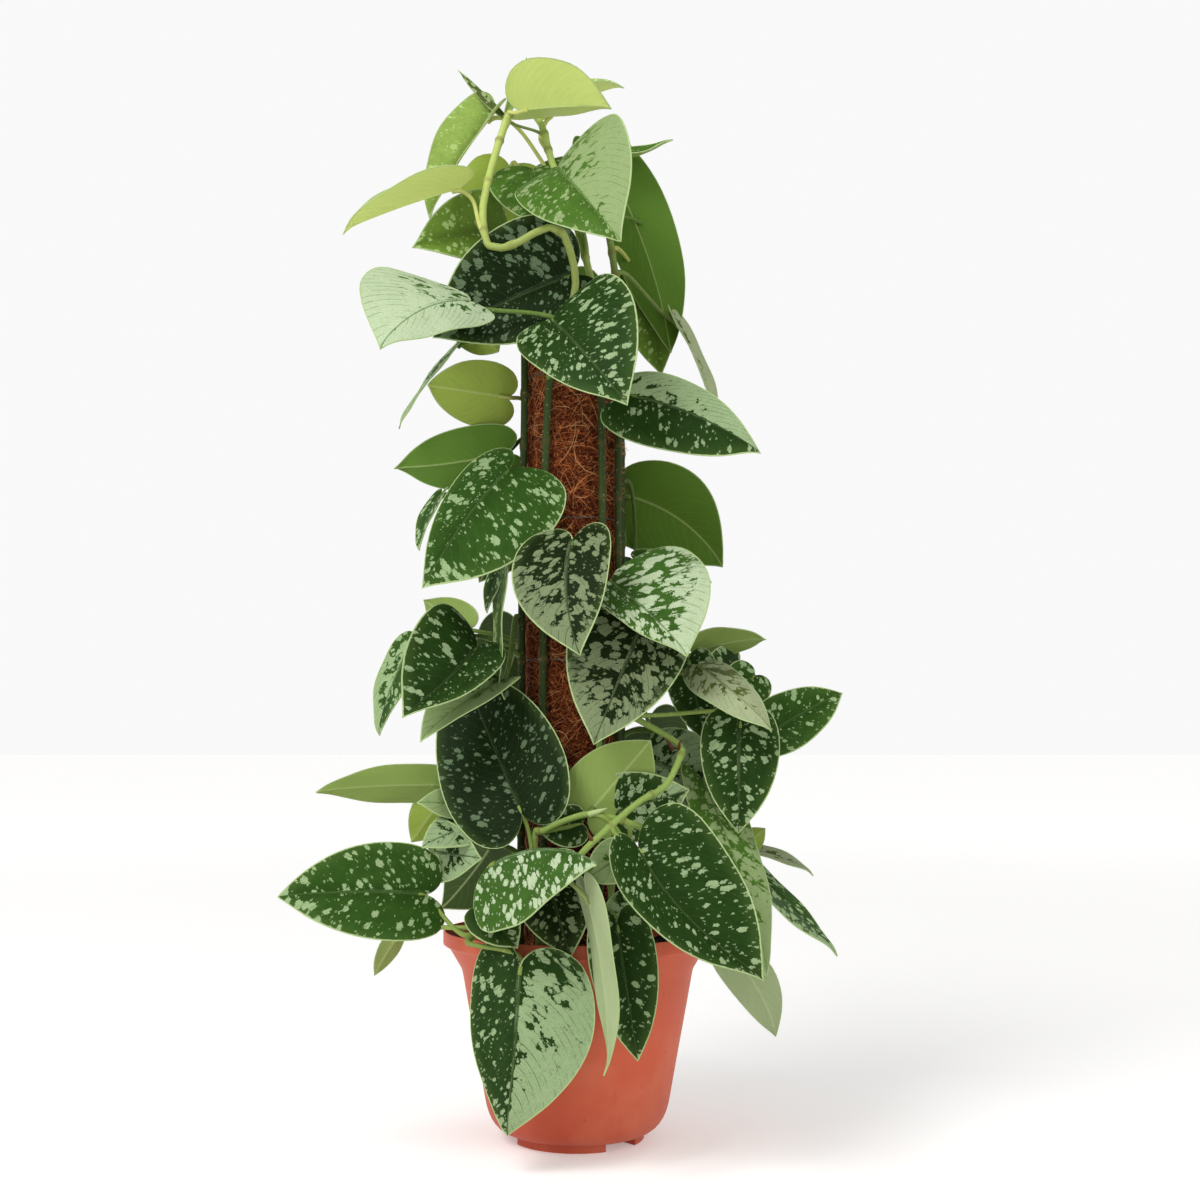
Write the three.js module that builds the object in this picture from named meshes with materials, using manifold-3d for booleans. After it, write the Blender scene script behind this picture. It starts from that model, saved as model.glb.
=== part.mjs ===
// Potted silvery ann satin pothos: leafy vines climbing a coir pole in a ribless nursery pot.
// Millimetres, +Z up, origin at the middle of the pot's underside, the photographed side toward -Y.
import * as THREE from "three";
import Module from "manifold-3d";

const wasm = await Module();
wasm.setup();
const { Manifold, CrossSection, Mesh } = wasm;

// Driving dimensions.
const GAP = 0.3; // clearance between neighbouring pieces

const POT_RIM_R = 93.5;
const POT_H = 141.5;
const POT_WALL = 1.6;
const RIM_BAND_H = 9.5; // upright band round the mouth
const CREASE_R = 80; // where the wall flares out to the rim
const CREASE_Z = 113.5;
const BELLY_R = 64; // top of the rounded lower corner
const BELLY_Z = 28.5;
const CORNER_R = 60.5; // where the wall and the underside would meet if the corner were sharp
const CORNER_Z = 7;
const FOOT_R = 46; // foot ring, outer radius
const FOOT_IN_R = 35;
const FOOT_H = 5;
const FLOOR_TOP = 7;
const FOOT_GAPS = 3;
const FOOT_GAP_DEG = 38;
const FIRST_FOOT_GAP = -48; // degrees round from +X: at the front, to the right
const PAD_R = 15; // flat pad in the middle of the underside
const DRAIN_HOLES = 8;
const DRAIN_R = 4;
const DRAIN_RING_R = 25;
const POT_SIDES = 36;

const SOIL_TOP = 127;
const SOIL_CROWN = 3; // the soil heaps up a little round the pole

const POLE_X = -4.6; // the pole stands a little left of the pot's axis
const POLE_FOOT = 12;
const POLE_TOP = 558;
const CORE_R = 12.5;
const CORE_SIDES = 18;
const CORE_PROUD = 4; // the core shows above the sleeve
const SLEEVE_R = 33;
const SLEEVE_SIDES = 24;
const TIE_HEIGHTS = { tie_low: 329, tie_middle: 428, tie_top: 531 };
const TIE_WIRE = 1.2;
const TIE_SIDES = 4;

const VINE_R = 2.7;
const RUNNER_R = 2.2;
const STEM_HOLE_GAP = 0.5;
const VINE_SIDES = 5;
const STEM_STEP = 34; // length of one straight stretch of a stem
const FEWEST_STRETCHES = 10;
const PETIOLE_R = 1.7;
const PETIOLE_SIDES = 3;
const PETIOLE_STEPS = 3;
const SHORT_PETIOLE = 40; // one that spans less than this has a bend fewer
const BLADE = 0.9; // leaf thickness
const SLACK = 0.08; // corners closer to a flat than this are dropped where pieces join

// Where the plant is looked at from: leaf places are given as they are seen on the upright plane
// through the pot's axis (across, up), with their depth toward this point.
const EYE = new THREE.Vector3(15.6, -1100, 272);

// Vines: the points of each stem.
const seen = (across, up, toward) => {
  const onPlane = new THREE.Vector3(across, 0, up);
  return onPlane.sub(EYE).multiplyScalar((-EYE.y - toward) / -EYE.y).add(EYE);
};
const at = (x, y, z) => new THREE.Vector3(x, y, z);

const VINES = {
  vine_front_left: {
    radius: VINE_R,
    points: [at(-20, -34, 100), at(-23.5, -33, 250), at(-23, -33.5, 400), at(-20, -35, 520),
      at(-8, -37, 562), seen(-2, 607, 38), seen(-13, 643, 46), seen(-29, 642, 50),
      seen(-47, 632, 50), seen(-65, 630, 48), seen(-70, 655, 38), seen(-66, 680, 26),
      seen(-58, 710, 13), seen(-51, 730, 8)],
  },
  vine_front_right: {
    radius: VINE_R,
    points: [at(14, -36, 100), at(17, -31.5, 300), at(17, -31.5, 480), at(14, -33, 560),
      seen(8, 610, 20), seen(-6, 660, 0), seen(-20, 695, -10), seen(-26, 719, -14),
      seen(-33, 731, -16)],
  },
  vine_left: {
    radius: VINE_R,
    points: [at(-40, -18, 100), at(-39, -15, 250), at(-39.5, -14, 400), at(-38, -17, 520),
      at(-40, -12, 600), at(-46, -2, 640)],
  },
  vine_right: {
    radius: VINE_R,
    points: [at(30, -22, 100), at(28.5, -18, 250), at(28.5, -18, 400), at(29, -18, 520),
      at(34, -12, 590)],
  },
  vine_rear_right: {
    radius: VINE_R,
    points: [at(32, 14, 100), at(31, 13.5, 300), at(31, 13.5, 500), at(28, 14, 600),
      at(18, 16, 670)],
  },
  vine_rear_left: {
    radius: VINE_R,
    points: [at(-40, 16, 100), at(-39, 14.5, 300), at(-38.5, 15, 500), at(-36, 18, 600),
      at(-34, 24, 660)],
  },
  vine_back_right: {
    radius: VINE_R,
    points: [at(8, 37, 100), at(8.5, 35.5, 300), at(8.5, 35.5, 500), at(6, 38, 600)],
  },
  vine_back_left: {
    radius: VINE_R,
    points: [at(-20, 36, 100), at(-20, 34.5, 250), at(-20, 34.5, 420), at(-22, 36, 500)],
  },
  runner_right: {
    radius: RUNNER_R,
    points: [at(24, -44, 100), at(22, -44, 200), seen(14, 290, 50), seen(30, 292, 56),
      seen(48, 284, 60), seen(72, 269, 66), seen(71, 258, 72), seen(61, 240, 82),
      seen(44, 230, 91), seen(26, 215, 98), seen(8, 199, 104), seen(0, 190, 106)],
  },
  runner_middle: {
    radius: RUNNER_R,
    points: [at(-22, -58, 100), at(-26, -60, 160), seen(-30, 205, 66), seen(-24, 209, 72),
      seen(-7, 217, 80), seen(12, 221, 84), seen(38, 214, 86), seen(52, 209, 82)],
  },
  runner_rim: {
    radius: RUNNER_R,
    points: [at(-38, -40, 100), at(-42, -48, 140), at(-50, -60, 151), at(-60, -71, 151),
      at(-68, -80, 145)],
  },
};

// One row a leaf: [place of its stalk on the vine (0 foot, 1 tip), blade base, blade tip, both as
// [across, up, toward]; turn of the face away from the viewer in degrees (180 shows the underside);
// greatest breadth / length; bend along the midrib; fold of the halves about it; how much wider one
// half is than the other; and how far the midrib bows sideways / length].
const LEAVES = {
  vine_front_left: [
    [1.0, [-43, 733, 18], [24, 736, 16], -132, 0.95, 12, 28, -0.15],
    [0.99, [-51, 735, 3], [-38, 774, 0], 0, 0.16, 20, 0],
    [0.85, [-88, 674, 30], [-173, 642, 46], 92, 0.54, 8, 42],
    [0.64, [-79, 590, 62], [-144, 556, 110], 38, 1.0, 40, -12, -0.45, -0.06],
    [0.68, [-6, 609, 24], [-106, 564, 32], 20, 0.84, 10, 18, -0.1],
    [0.6, [-19, 576, 62], [35, 514, 124], -8, 0.74, 50, 6, 0.22],
    [0.37, [-4, 415, 80], [1, 333, 114], 8, 0.75, 25, 5, -0.12, -0.06],
  ],
  vine_front_right: [
    [0.95, [-24, 727, -32], [33, 752, -32], -80, 0.75, 20, 35],
    [0.97, [-59, 732, -14], [-89, 764, -14], 20, 0.14, -20, 0],
    [0.9, [-64, 728, -20], [-110, 650, -12], 45, 0.52, 20, 45],
    [0.85, [-33, 688, -15], [-24, 645, 25], 0, 0.95, 20, 5],
    [0.8, [-15, 690, 20], [30, 636, 95], -4, 0.76, 45, 10, 0.17],
    [0.2, [8, 222, 60], [52, 273, 70], 180, 0.85, 20, 5],
    [0.18, [16, 220, 56], [79, 238, 66], 0, 0.75, 20, 5],
  ],
  vine_left: [
    [0.97, [-57, 641, -20], [-120, 631, 35], 22, 0.72, 30, 22],
    [0.84, [-85, 560, 5], [-131, 497, 0], 85, 0.45, 10, 5],
    [0.85, [-82, 573, 0], [-57, 552, 10], 180, 0.8, 20, 5],
    [0.66, [-50, 466, 44], [-111, 381, 80], 4, 0.67, 25, 10, 0.4, -0.03],
    [0.42, [-72, 338, 50], [-124, 290, 110], 20, 0.76, 25, 24, -0.25, 0.05],
    [0.47, [-57, 314, 46], [-112, 273, 84], 40, 0.62, 20, 30],
    [0.55, [-52, 397, 50], [-55, 301, 45], 80, 0.45, 10, 5],
    [0.57, [-56, 397, 35], [-66, 363, 35], 60, 0.6, 10, 5],
    [0.22, [-77, 227, 38], [-113, 229, 60], 20, 0.6, 20, 5],
    [0.2, [-73, 213, 50], [-110, 198, 70], 40, 0.8, 20, 5],
    [0.17, [-104, 196, 45], [-68, 190, 72], 0, 0.9, 15, 5],
  ],
  vine_right: [
    [0.82, [38, 521, 50], [131, 479, 80], -15, 0.52, 20, 5, -0.25, 0.04],
    [0.58, [24, 385, 60], [78, 333, 105], -30, 0.9, 25, 5, 0.45],
    [0.5, [50, 361, 60], [11, 270, 95], 5, 0.78, 20, 5, -0.12],
    [0.42, [79, 329, 10], [90, 271, 25], 0, 0.62, 20, 5],
    [0.4, [86, 326, 50], [138, 280, 90], -35, 0.5, 50, -20, 0.1, -0.05],
  ],
  vine_rear_right: [
    [1.0, [19, 696, -45], [67, 549, -15], 170, 0.32, 20, 10, -0.1, -0.05],
    [0.93, [45, 604, -50], [60, 535, -40], -5, 0.55, 30, 10],
    [1.0, [10, 698, -30], [68, 712, -35], -80, 0.45, -50, 20],
    [0.97, [50, 640, -60], [70, 580, -95], 170, 0.6, 30, 8],
    [0.9, [71, 575, -20], [102, 500, -10], -75, 0.36, 12, 10],
    [0.55, [33, 448, -37], [104, 396, -38], 198, 0.82, 10, -8, 0, -0.1],
    [0.5, [44, 401, 10], [96, 386, 10], -60, 0.6, 25, 5],
    [0.62, [40, 400, -60], [62, 345, -105], 170, 0.75, 30, 8],
    [0.4, [83, 336, -20], [134, 345, -10], -130, 0.65, 20, 5],
    [0.38, [113, 326, -32], [84, 318, 0], 0, 0.7, 20, 5],
    [0.36, [125, 318, -10], [100, 290, 10], 0, 0.8, 20, 5],
    [0.35, [50, 280, -55], [80, 225, -95], 165, 0.75, 30, 8],
    [0.3, [132, 276, 10], [188, 307, 0], -20, 0.65, 20, 5],
    [0.25, [55, 258, 5], [120, 235, 15], 0, 0.8, 20, 5],
    [0.22, [60, 215, -50], [95, 165, -85], 150, 0.75, 30, 8],
    [0.2, [90, 241, 30], [134, 109, 100], -40, 0.31, 15, 5],
    [0.18, [114, 196, 20], [132, 211, 25], 180, 0.8, 15, 5],
    [0.16, [120, 186, 20], [183, 124, 40], -70, 0.55, 10, 5, -0.3, -0.08],
    [0.16, [115, 197, 0], [166, 179, 10], -70, 0.45, 30, 5],
    [0.12, [108, 122, 80], [138, 67, 95], 180, 0.54, 15, 5, 0, -0.08],
  ],
  vine_rear_left: [
    [1.0, [-50, 688, -45], [-62, 632, -35], 180, 1.05, 20, 5],
    [0.75, [-53, 519, 0], [-110, 528, 35], 180, 0.74, 20, 5],
    [0.7, [-54, 478, 0], [-130, 468, -40], 165, 0.52, -40, 10],
    [0.6, [-99, 448, 0], [-115, 408, 10], 70, 0.6, 25, 8],
    [0.42, [-80, 352, 0], [-110, 372, -10], 180, 0.8, 25, 5],
    [0.4, [-118, 340, -10], [-142, 276, -10], 60, 0.65, 20, 5],
    [0.25, [-96, 241.5, 20], [-185, 237, 30], 150, 0.36, 15, 5],
  ],
  vine_back_right: [
    [0.95, [-8, 610, -70], [-25, 545, -115], 180, 0.75, 30, 8],
    [0.8, [-2, 520, -75], [-8, 455, -105], 180, 0.72, 30, 8],
    [0.68, [0, 455, -70], [10, 400, -120], 170, 0.75, 30, 8],
    [0.5, [5, 340, -75], [15, 275, -120], 175, 0.75, 30, 8],
    [0.3, [0, 235, -80], [-15, 190, -135], 180, 0.8, 35, 8],
    [0.18, [-30, 170, -85], [-50, 130, -125], 185, 0.8, 35, 8],
    [0.12, [30, 180, -72], [46, 140, -116], 175, 0.75, 35, 8],
  ],
  vine_back_left: [
    [0.9, [-45, 440, -60], [-70, 385, -100], 190, 0.78, 30, 8],
    [0.7, [-40, 350, -60], [-60, 290, -105], 185, 0.78, 30, 8],
    [0.5, [-50, 270, -60], [-85, 215, -105], 190, 0.8, 30, 8],
    [0.25, [-60, 200, -55], [-95, 155, -95], 200, 0.8, 30, 8],
    [0.2, [-97, 230, -10], [-117, 201, -10], 180, 0.85, 20, 5],
  ],
  runner_right: [
    [0.58, [115, 286, 45], [113, 207, 60], 0, 0.68, 30, 5],
    [0.92, [43, 197, 104], [131, 107, 150], -32, 0.67, 15, 10, 0.26, -0.1],
  ],
  runner_middle: [
    [0.42, [-40, 222, 68], [-83, 325, 12], -10, 0.7, 10, 8, 0],
    [0.6, [2, 214, 63.5], [-27, 208, 67], 0, 1, 20, 5],
    [0.36, [-62, 186, 92], [13, 188, 150], -66, 1.1, 40, -45, 0, 0.05],
    [0.38, [7, 164, 128], [22, 41, 134], -110, 0.38, 15, 5],
    [0.3, [-23, 185, 78], [-5, 121, 102], 0, 0.8, 20, 5],
    [0.34, [28, 144, 100], [42, 50, 104], 0, 0.5, 10, 5],
    [0.8, [43, 157, 82], [14, 130, 103], 0, 0.8, 15, 5],
    [0.9, [33, 193, 85], [5, 175, 96], 0, 0.9, 15, 5],
  ],
  runner_rim: [
    [0.95, [-107, 165, 70], [-211, 164, 100], 12, 0.66, 40, 12],
    [1.0, [-40, 115, 110], [-50, -1, 106], 25, 0.9, 15, -25, 0, 0.03],
    [0.93, [-66, 156, 84], [-42, 128, 101], -10, 0.9, 20, 5],
    [0.8, [-127, 135, 40], [-142, 109, 40], 160, 0.5, 15, 5],
  ],
};

// Half of a heart-shaped blade's outline from the base round to the tip: length along the midrib
// as a share of the blade's length, and breadth as a share of half its breadth.
const HALF_OUTLINE = [
  [0, 0], [-0.06, 0.07], [-0.12, 0.24], [-0.135, 0.5], [-0.065, 0.8], [0.09, 0.98], [0.27, 1.02],
  [0.45, 0.95], [0.62, 0.79], [0.77, 0.55], [0.88, 0.3], [0.95, 0.12], [1, 0],
];
const HALF_BREADTH = 0.4; // half breadth / length while the outline is being measured
const RIB_START = 0.25; // share of the margin that belongs to the base of the midrib
const RIB_EASE = 1.9;

// Stations round the margin of a blade at least `from` long: large, middling and small ones.
const GRADES = [
  { from: 86, stations: [0, 0.09, 0.19, 0.31, 0.46, 0.63, 0.82, 1] },
  { from: 46, stations: [0, 0.12, 0.27, 0.47, 0.72, 1] },
  { from: 0, stations: [0, 0.18, 0.45, 0.75, 1] },
];

const UP = new THREE.Vector3(0, 0, 1);
const radians = THREE.MathUtils.degToRad;

// A closed solid from corner points and triangles.
function solid(points, triangles) {
  return new Manifold(new Mesh({
    numProp: 3,
    vertProperties: new Float32Array(points.flatMap((p) => p.toArray())),
    triVerts: new Uint32Array(triangles.flat()),
  }));
}

// A round bar of `sides` flats along a line of points, closed at both ends.
function bar(line, radius, sides) {
  const points = [];
  const triangles = [];
  let normal = null;
  line.forEach((p, i) => {
    const before = line[Math.max(i - 1, 0)];
    const after = line[Math.min(i + 1, line.length - 1)];
    const along = after.clone().sub(before).normalize();
    if (!normal) {
      const helper = Math.abs(along.z) < 0.9 ? UP : new THREE.Vector3(1, 0, 0);
      normal = along.clone().cross(helper);
    }
    normal.addScaledVector(along, -normal.dot(along)).normalize();
    const side = along.clone().cross(normal);
    for (let k = 0; k < sides; k += 1) {
      const a = (2 * Math.PI * k) / sides;
      points.push(p.clone()
        .addScaledVector(normal, radius * Math.cos(a))
        .addScaledVector(side, radius * Math.sin(a)));
    }
  });
  const last = (line.length - 1) * sides;
  for (let i = 0; i < last; i += sides) {
    for (let k = 0; k < sides; k += 1) {
      const next = (k + 1) % sides;
      triangles.push([i + k, i + next, i + next + sides], [i + k, i + next + sides, i + k + sides]);
    }
  }
  for (let k = 1; k < sides - 1; k += 1) {
    triangles.push([0, k + 1, k], [last, last + k, last + k + 1]);
  }
  return solid(points, triangles);
}

const outline = new THREE.CatmullRomCurve3(
  HALF_OUTLINE.map(([x, y]) => new THREE.Vector3(x, HALF_BREADTH * y, 0)), false, "catmullrom", 0.5);
outline.arcLengthDivisions = 400;

// A blade bent along its midrib and folded about it. `place` gives a point of the sheet from its
// distance along the midrib and off it.
class Blade {
  constructor([, base, tip, turn, breadth, bend, fold, skew = 0, bow = 0]) {
    this.base = seen(...base);
    const chord = seen(...tip).sub(this.base);
    this.along = chord.clone().normalize();
    const facing = EYE.clone().sub(this.base);
    facing.addScaledVector(this.along, -facing.dot(this.along)).normalize();
    this.normal = facing.clone().multiplyScalar(Math.cos(radians(turn)))
      .addScaledVector(this.along.clone().cross(facing), Math.sin(radians(turn)));
    this.across = this.normal.clone().cross(this.along);
    this.bend = radians(bend);
    this.fold = radians(fold);
    this.skew = skew;
    this.bow = bow;
    this.length = (chord.length() * this.bend) / 2 / Math.sin(this.bend / 2);
    this.halfBreadth = (breadth * this.length) / 2;
  }

  place(x, y) {
    const off = y * (1 + this.skew * Math.sign(y));
    const lift = Math.abs(off) * Math.sin(this.fold);
    const angle = this.bend / 2 - (x * this.bend) / this.length;
    const radius = this.length / this.bend;
    const run = radius * (Math.sin(this.bend / 2) - Math.sin(angle)) - Math.sin(angle) * lift;
    const rise = radius * (Math.cos(angle) - Math.cos(this.bend / 2)) + Math.cos(angle) * lift;
    const aside = (4 * this.bow * x * (this.length - x)) / this.length;
    return this.base.clone()
      .addScaledVector(this.along, run)
      .addScaledVector(this.normal, rise)
      .addScaledVector(this.across, off * Math.cos(this.fold) + aside);
  }

  // Places on the flat sheet, `s` round the margin from the base: the margin's own, and the one on
  // the midrib that faces it.
  margin(s) {
    const edge = outline.getPointAt(s);
    return [edge.x * this.length, (edge.y / HALF_BREADTH) * this.halfBreadth];
  }

  midrib(s) {
    const share = Math.max(0, (s - RIB_START) / (1 - RIB_START));
    return [this.length * share ** RIB_EASE, 0];
  }

  solid() {
    const { stations } = GRADES.find((grade) => this.length >= grade.from);
    const points = [];
    const triangles = [];
    const seats = new Map();
    // The upper corner over a place of the sheet; the lower one comes next after it.
    const seat = (x, y) => {
      const key = `${Math.round(x * 1000)} ${Math.round(y * 1000)}`;
      if (!seats.has(key)) {
        const middle = this.place(x, y);
        const step = 0.5;
        const out = this.place(x + step, y).sub(this.place(x - step, y))
          .cross(this.place(x, y + step).sub(this.place(x, y - step))).normalize();
        if (out.dot(this.normal) < 0) out.negate();
        seats.set(key, points.length);
        points.push(middle.clone().addScaledVector(out, BLADE / 2));
        points.push(middle.clone().addScaledVector(out, -BLADE / 2));
      }
      return seats.get(key);
    };
    // `side` is 1 for one half of the blade and -1 for its mirror image.
    const face = (side, p, q, r) => {
      if (p !== q && q !== r && p !== r) triangles.push(side > 0 ? [p, q, r] : [p, r, q]);
    };
    for (const side of [1, -1]) {
      const inner = stations.map((s) => seat(...this.midrib(s)));
      const outer = stations.map((s) => {
        const [x, y] = this.margin(s);
        return seat(x, side * y);
      });
      for (let i = 0; i < stations.length - 1; i += 1) {
        const [a, b, c, d] = [inner[i], inner[i + 1], outer[i + 1], outer[i]];
        face(side, a, b, c);
        face(side, a, c, d);
        face(-side, a + 1, b + 1, c + 1);
        face(-side, a + 1, c + 1, d + 1);
        face(side, d, c + 1, d + 1);
        face(side, d, c, c + 1);
      }
    }
    return solid(points, triangles);
  }

  // The stalk from a place on the vine, in under the base of the blade and a little along its rib.
  stalk(from, vineAlong) {
    const half = this.bend / 2;
    const rib = this.along.clone().multiplyScalar(Math.cos(half))
      .addScaledVector(this.normal, Math.sin(half));
    const under = this.normal.clone().multiplyScalar(Math.cos(half))
      .addScaledVector(this.along, -Math.sin(half));
    const reach = this.base.distanceTo(from);
    const outward = new THREE.Vector3(from.x - POLE_X, from.y, 0).normalize();
    const neck = this.base.clone().addScaledVector(under, -1.5);
    const rise = vineAlong.clone().multiplyScalar(0.8).addScaledVector(outward, 0.5);
    const swing = under.clone().multiplyScalar(0.45).addScaledVector(rib, 0.75);
    const curve = new THREE.CubicBezierCurve3(
      from,
      from.clone().addScaledVector(rise, Math.min(0.35 * reach, 25)),
      neck.clone().addScaledVector(swing, -Math.min(0.45 * reach, 40)),
      neck,
    );
    const end = this.base.clone().addScaledVector(rib, 5).addScaledVector(under, -1.1);
    const steps = reach < SHORT_PETIOLE ? PETIOLE_STEPS - 1 : PETIOLE_STEPS;
    return bar([...curve.getPoints(steps), end], PETIOLE_R, PETIOLE_SIDES);
  }
}

// One vine: its stem, and every leaf on its stalk.
const stemCurves = {};
for (const [name, { points }] of Object.entries(VINES)) {
  stemCurves[name] = new THREE.CatmullRomCurve3(points, false, "catmullrom", 0.5);
}

function stemLine(name) {
  const curve = stemCurves[name];
  const stretches = Math.max(FEWEST_STRETCHES, Math.round(curve.getLength() / STEM_STEP));
  return curve.getSpacedPoints(stretches);
}

// Slivers where pieces cross are evened out, and a pocket shut in between them is filled.
function filled(piece) {
  return piece.simplify(SLACK).decompose().reduce((a, b) => (b.volume() > a.volume() ? b : a));
}

function vine(name) {
  const curve = stemCurves[name];
  const pieces = [bar(stemLine(name), VINES[name].radius, VINE_SIDES)];
  for (const row of LEAVES[name]) {
    const blade = new Blade(row);
    const from = curve.getPointAt(row[0]);
    pieces.push(blade.solid(), blade.stalk(from, curve.getTangentAt(row[0])));
  }
  return filled(Manifold.union(pieces));
}

// Pot: one turned wall and floor, cut away between the feet and at the drain holes.
const flareTop = [POT_RIM_R - 3.7, POT_H - RIM_BAND_H - 1];
const lowerCorner = new THREE.QuadraticBezierCurve(
  new THREE.Vector2(FOOT_R, FOOT_H),
  new THREE.Vector2(CORNER_R, CORNER_Z),
  new THREE.Vector2(BELLY_R, BELLY_Z),
);
const cornerPoints = lowerCorner.getPoints(3).map((p) => [p.x, p.y]);
// The inner wall from the floor up to the mouth, drawn in by `extra` for what fills it.
const innerWall = (extra) => {
  const inset = POT_WALL + extra;
  return [
    [FOOT_R + 3.5 - extra, FLOOR_TOP],
    [CORNER_R - 4.6 - extra, FLOOR_TOP + 6.4],
    [BELLY_R - inset, BELLY_Z],
    [CREASE_R - inset, CREASE_Z + 0.4],
    [flareTop[0] - inset + 0.2, flareTop[1] + 0.6],
    [POT_RIM_R - inset, POT_H - RIM_BAND_H + 1.4],
  ];
};
const turned = (section, sides) => Manifold.revolve(new CrossSection([section]), sides);
const upright = (radius, from, to, sides) =>
  Manifold.cylinder(to - from, radius, radius, sides).translate([0, 0, from]);

function pot() {
  const wall = turned([
    [0, 0], [PAD_R, 0], [PAD_R, FOOT_H], [FOOT_IN_R, FOOT_H], [FOOT_IN_R, 0], [FOOT_R, 0],
    ...cornerPoints,
    [CREASE_R, CREASE_Z], flareTop, [POT_RIM_R, POT_H - RIM_BAND_H + 0.6], [POT_RIM_R, POT_H],
    [POT_RIM_R - POT_WALL, POT_H],
    ...innerWall(0).reverse(),
    [0, FLOOR_TOP],
  ], POT_SIDES);
  const cuts = [];
  for (let i = 0; i < FOOT_GAPS; i += 1) {
    const middle = FIRST_FOOT_GAP + (360 / FOOT_GAPS) * i;
    const half = FOOT_GAP_DEG / 2;
    const ray = (angle, r) => [r * Math.cos(radians(angle)), r * Math.sin(radians(angle))];
    const sector = new CrossSection([[
      ray(middle - half, FOOT_IN_R - 3), ray(middle - half, FOOT_R + 4),
      ray(middle, FOOT_R + 7), ray(middle + half, FOOT_R + 4), ray(middle + half, FOOT_IN_R - 3),
    ]]);
    cuts.push(Manifold.extrude(sector, FOOT_H + 1).translate([0, 0, -1]));
  }
  for (let i = 0; i < DRAIN_HOLES; i += 1) {
    const a = radians((360 / DRAIN_HOLES) * (i + 0.5));
    cuts.push(upright(DRAIN_R, FOOT_H - 1, FLOOR_TOP + 1, 10)
      .translate([DRAIN_RING_R * Math.cos(a), DRAIN_RING_R * Math.sin(a), 0]));
  }
  return Manifold.difference([wall, ...cuts]);
}

// A hole round a stem, a little wider than it and a little deeper than its foot.
function stemHole(name) {
  const line = stemLine(name);
  const foot = line[0].clone().sub(line[1]).setLength(1).add(line[0]);
  const clear = line.findIndex((p) => p.z > SOIL_TOP + 8);
  return bar([foot, ...line.slice(0, clear + 1)], VINES[name].radius + STEM_HOLE_GAP, VINE_SIDES);
}

function soil() {
  const wall = innerWall(GAP).filter(([, z]) => z < SOIL_TOP - 1);
  const [, , , crease, flare] = innerWall(GAP);
  const share = (SOIL_TOP - crease[1]) / (flare[1] - crease[1]);
  wall[0][1] += GAP;
  const heap = turned([
    [0, FLOOR_TOP + GAP],
    ...wall,
    [crease[0] + share * (flare[0] - crease[0]), SOIL_TOP],
    [SLEEVE_R + 12, SOIL_TOP + 0.7 * SOIL_CROWN],
    [0, SOIL_TOP + SOIL_CROWN],
  ], POT_SIDES);
  const poleHole = upright(SLEEVE_R + GAP, POLE_FOOT - GAP, POT_H, SLEEVE_SIDES)
    .translate([POLE_X, 0, 0]);
  return Manifold.difference([heap, poleHole, ...Object.keys(VINES).map(stemHole)]);
}

// Pole: a core in a sleeve of coir, bound by wires that lie in the fibre.
const TIE_RING_R = SLEEVE_R - TIE_WIRE / 2;

function sleeve() {
  const section = [[CORE_R + GAP, POLE_FOOT], [SLEEVE_R, POLE_FOOT]];
  const half = TIE_WIRE / 2 + GAP;
  for (const z of Object.values(TIE_HEIGHTS)) {
    const floor = TIE_RING_R - half;
    section.push([SLEEVE_R, z - half], [floor, z - half], [floor, z + half], [SLEEVE_R, z + half]);
  }
  section.push([SLEEVE_R, POLE_TOP], [CORE_R + GAP, POLE_TOP]);
  return turned(section, SLEEVE_SIDES);
}

function tie(height) {
  const section = [];
  for (let k = 0; k < TIE_SIDES; k += 1) {
    const a = (2 * Math.PI * k) / TIE_SIDES;
    section.push([
      TIE_RING_R + (TIE_WIRE / 2) * Math.cos(a),
      height + (TIE_WIRE / 2) * Math.sin(a),
    ]);
  }
  return turned(section, SLEEVE_SIDES);
}

// Assembly.
const group = new THREE.Group();
group.name = "potted_pothos";
const pole = new THREE.Group();
pole.position.set(POLE_X, 0, 0);
group.add(pole);

const PLASTIC = new THREE.MeshStandardMaterial({ color: "#be553c", roughness: 0.55, metalness: 0 });
const PEAT = new THREE.MeshStandardMaterial({ color: "#2c211b", roughness: 1, metalness: 0 });
const COIR = new THREE.MeshStandardMaterial({ color: "#6d3c28", roughness: 0.95, metalness: 0 });
const STAKE = new THREE.MeshStandardMaterial({ color: "#6b4a33", roughness: 0.85, metalness: 0 });
const WIRE = new THREE.MeshStandardMaterial({ color: "#5a5a5c", roughness: 0.4, metalness: 0.8 });
const LEAF = new THREE.MeshStandardMaterial({ color: "#5d8a55", roughness: 0.6, metalness: 0 });

function add(parent, name, piece, material) {
  const { numProp, numVert, vertProperties, triVerts } = piece.getMesh();
  const positions = new Float32Array(numVert * 3);
  for (let i = 0; i < numVert; i += 1) {
    positions.set(vertProperties.subarray(i * numProp, i * numProp + 3), i * 3);
  }
  const geometry = new THREE.BufferGeometry();
  geometry.setAttribute("position", new THREE.BufferAttribute(positions, 3));
  geometry.setIndex(new THREE.BufferAttribute(triVerts, 1));
  const mesh = new THREE.Mesh(geometry, material);
  mesh.name = name;
  parent.add(mesh);
}

add(group, "pot", pot(), PLASTIC);
add(group, "soil", soil(), PEAT);
add(pole, "pole_core", upright(CORE_R, POLE_FOOT, POLE_TOP + CORE_PROUD, CORE_SIDES), STAKE);
add(pole, "coir_sleeve", sleeve(), COIR);
for (const [name, height] of Object.entries(TIE_HEIGHTS)) {
  add(pole, name, tie(height), WIRE);
}
for (const name of Object.keys(VINES)) {
  add(group, name, vine(name), LEAF);
}

export default group;
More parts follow.
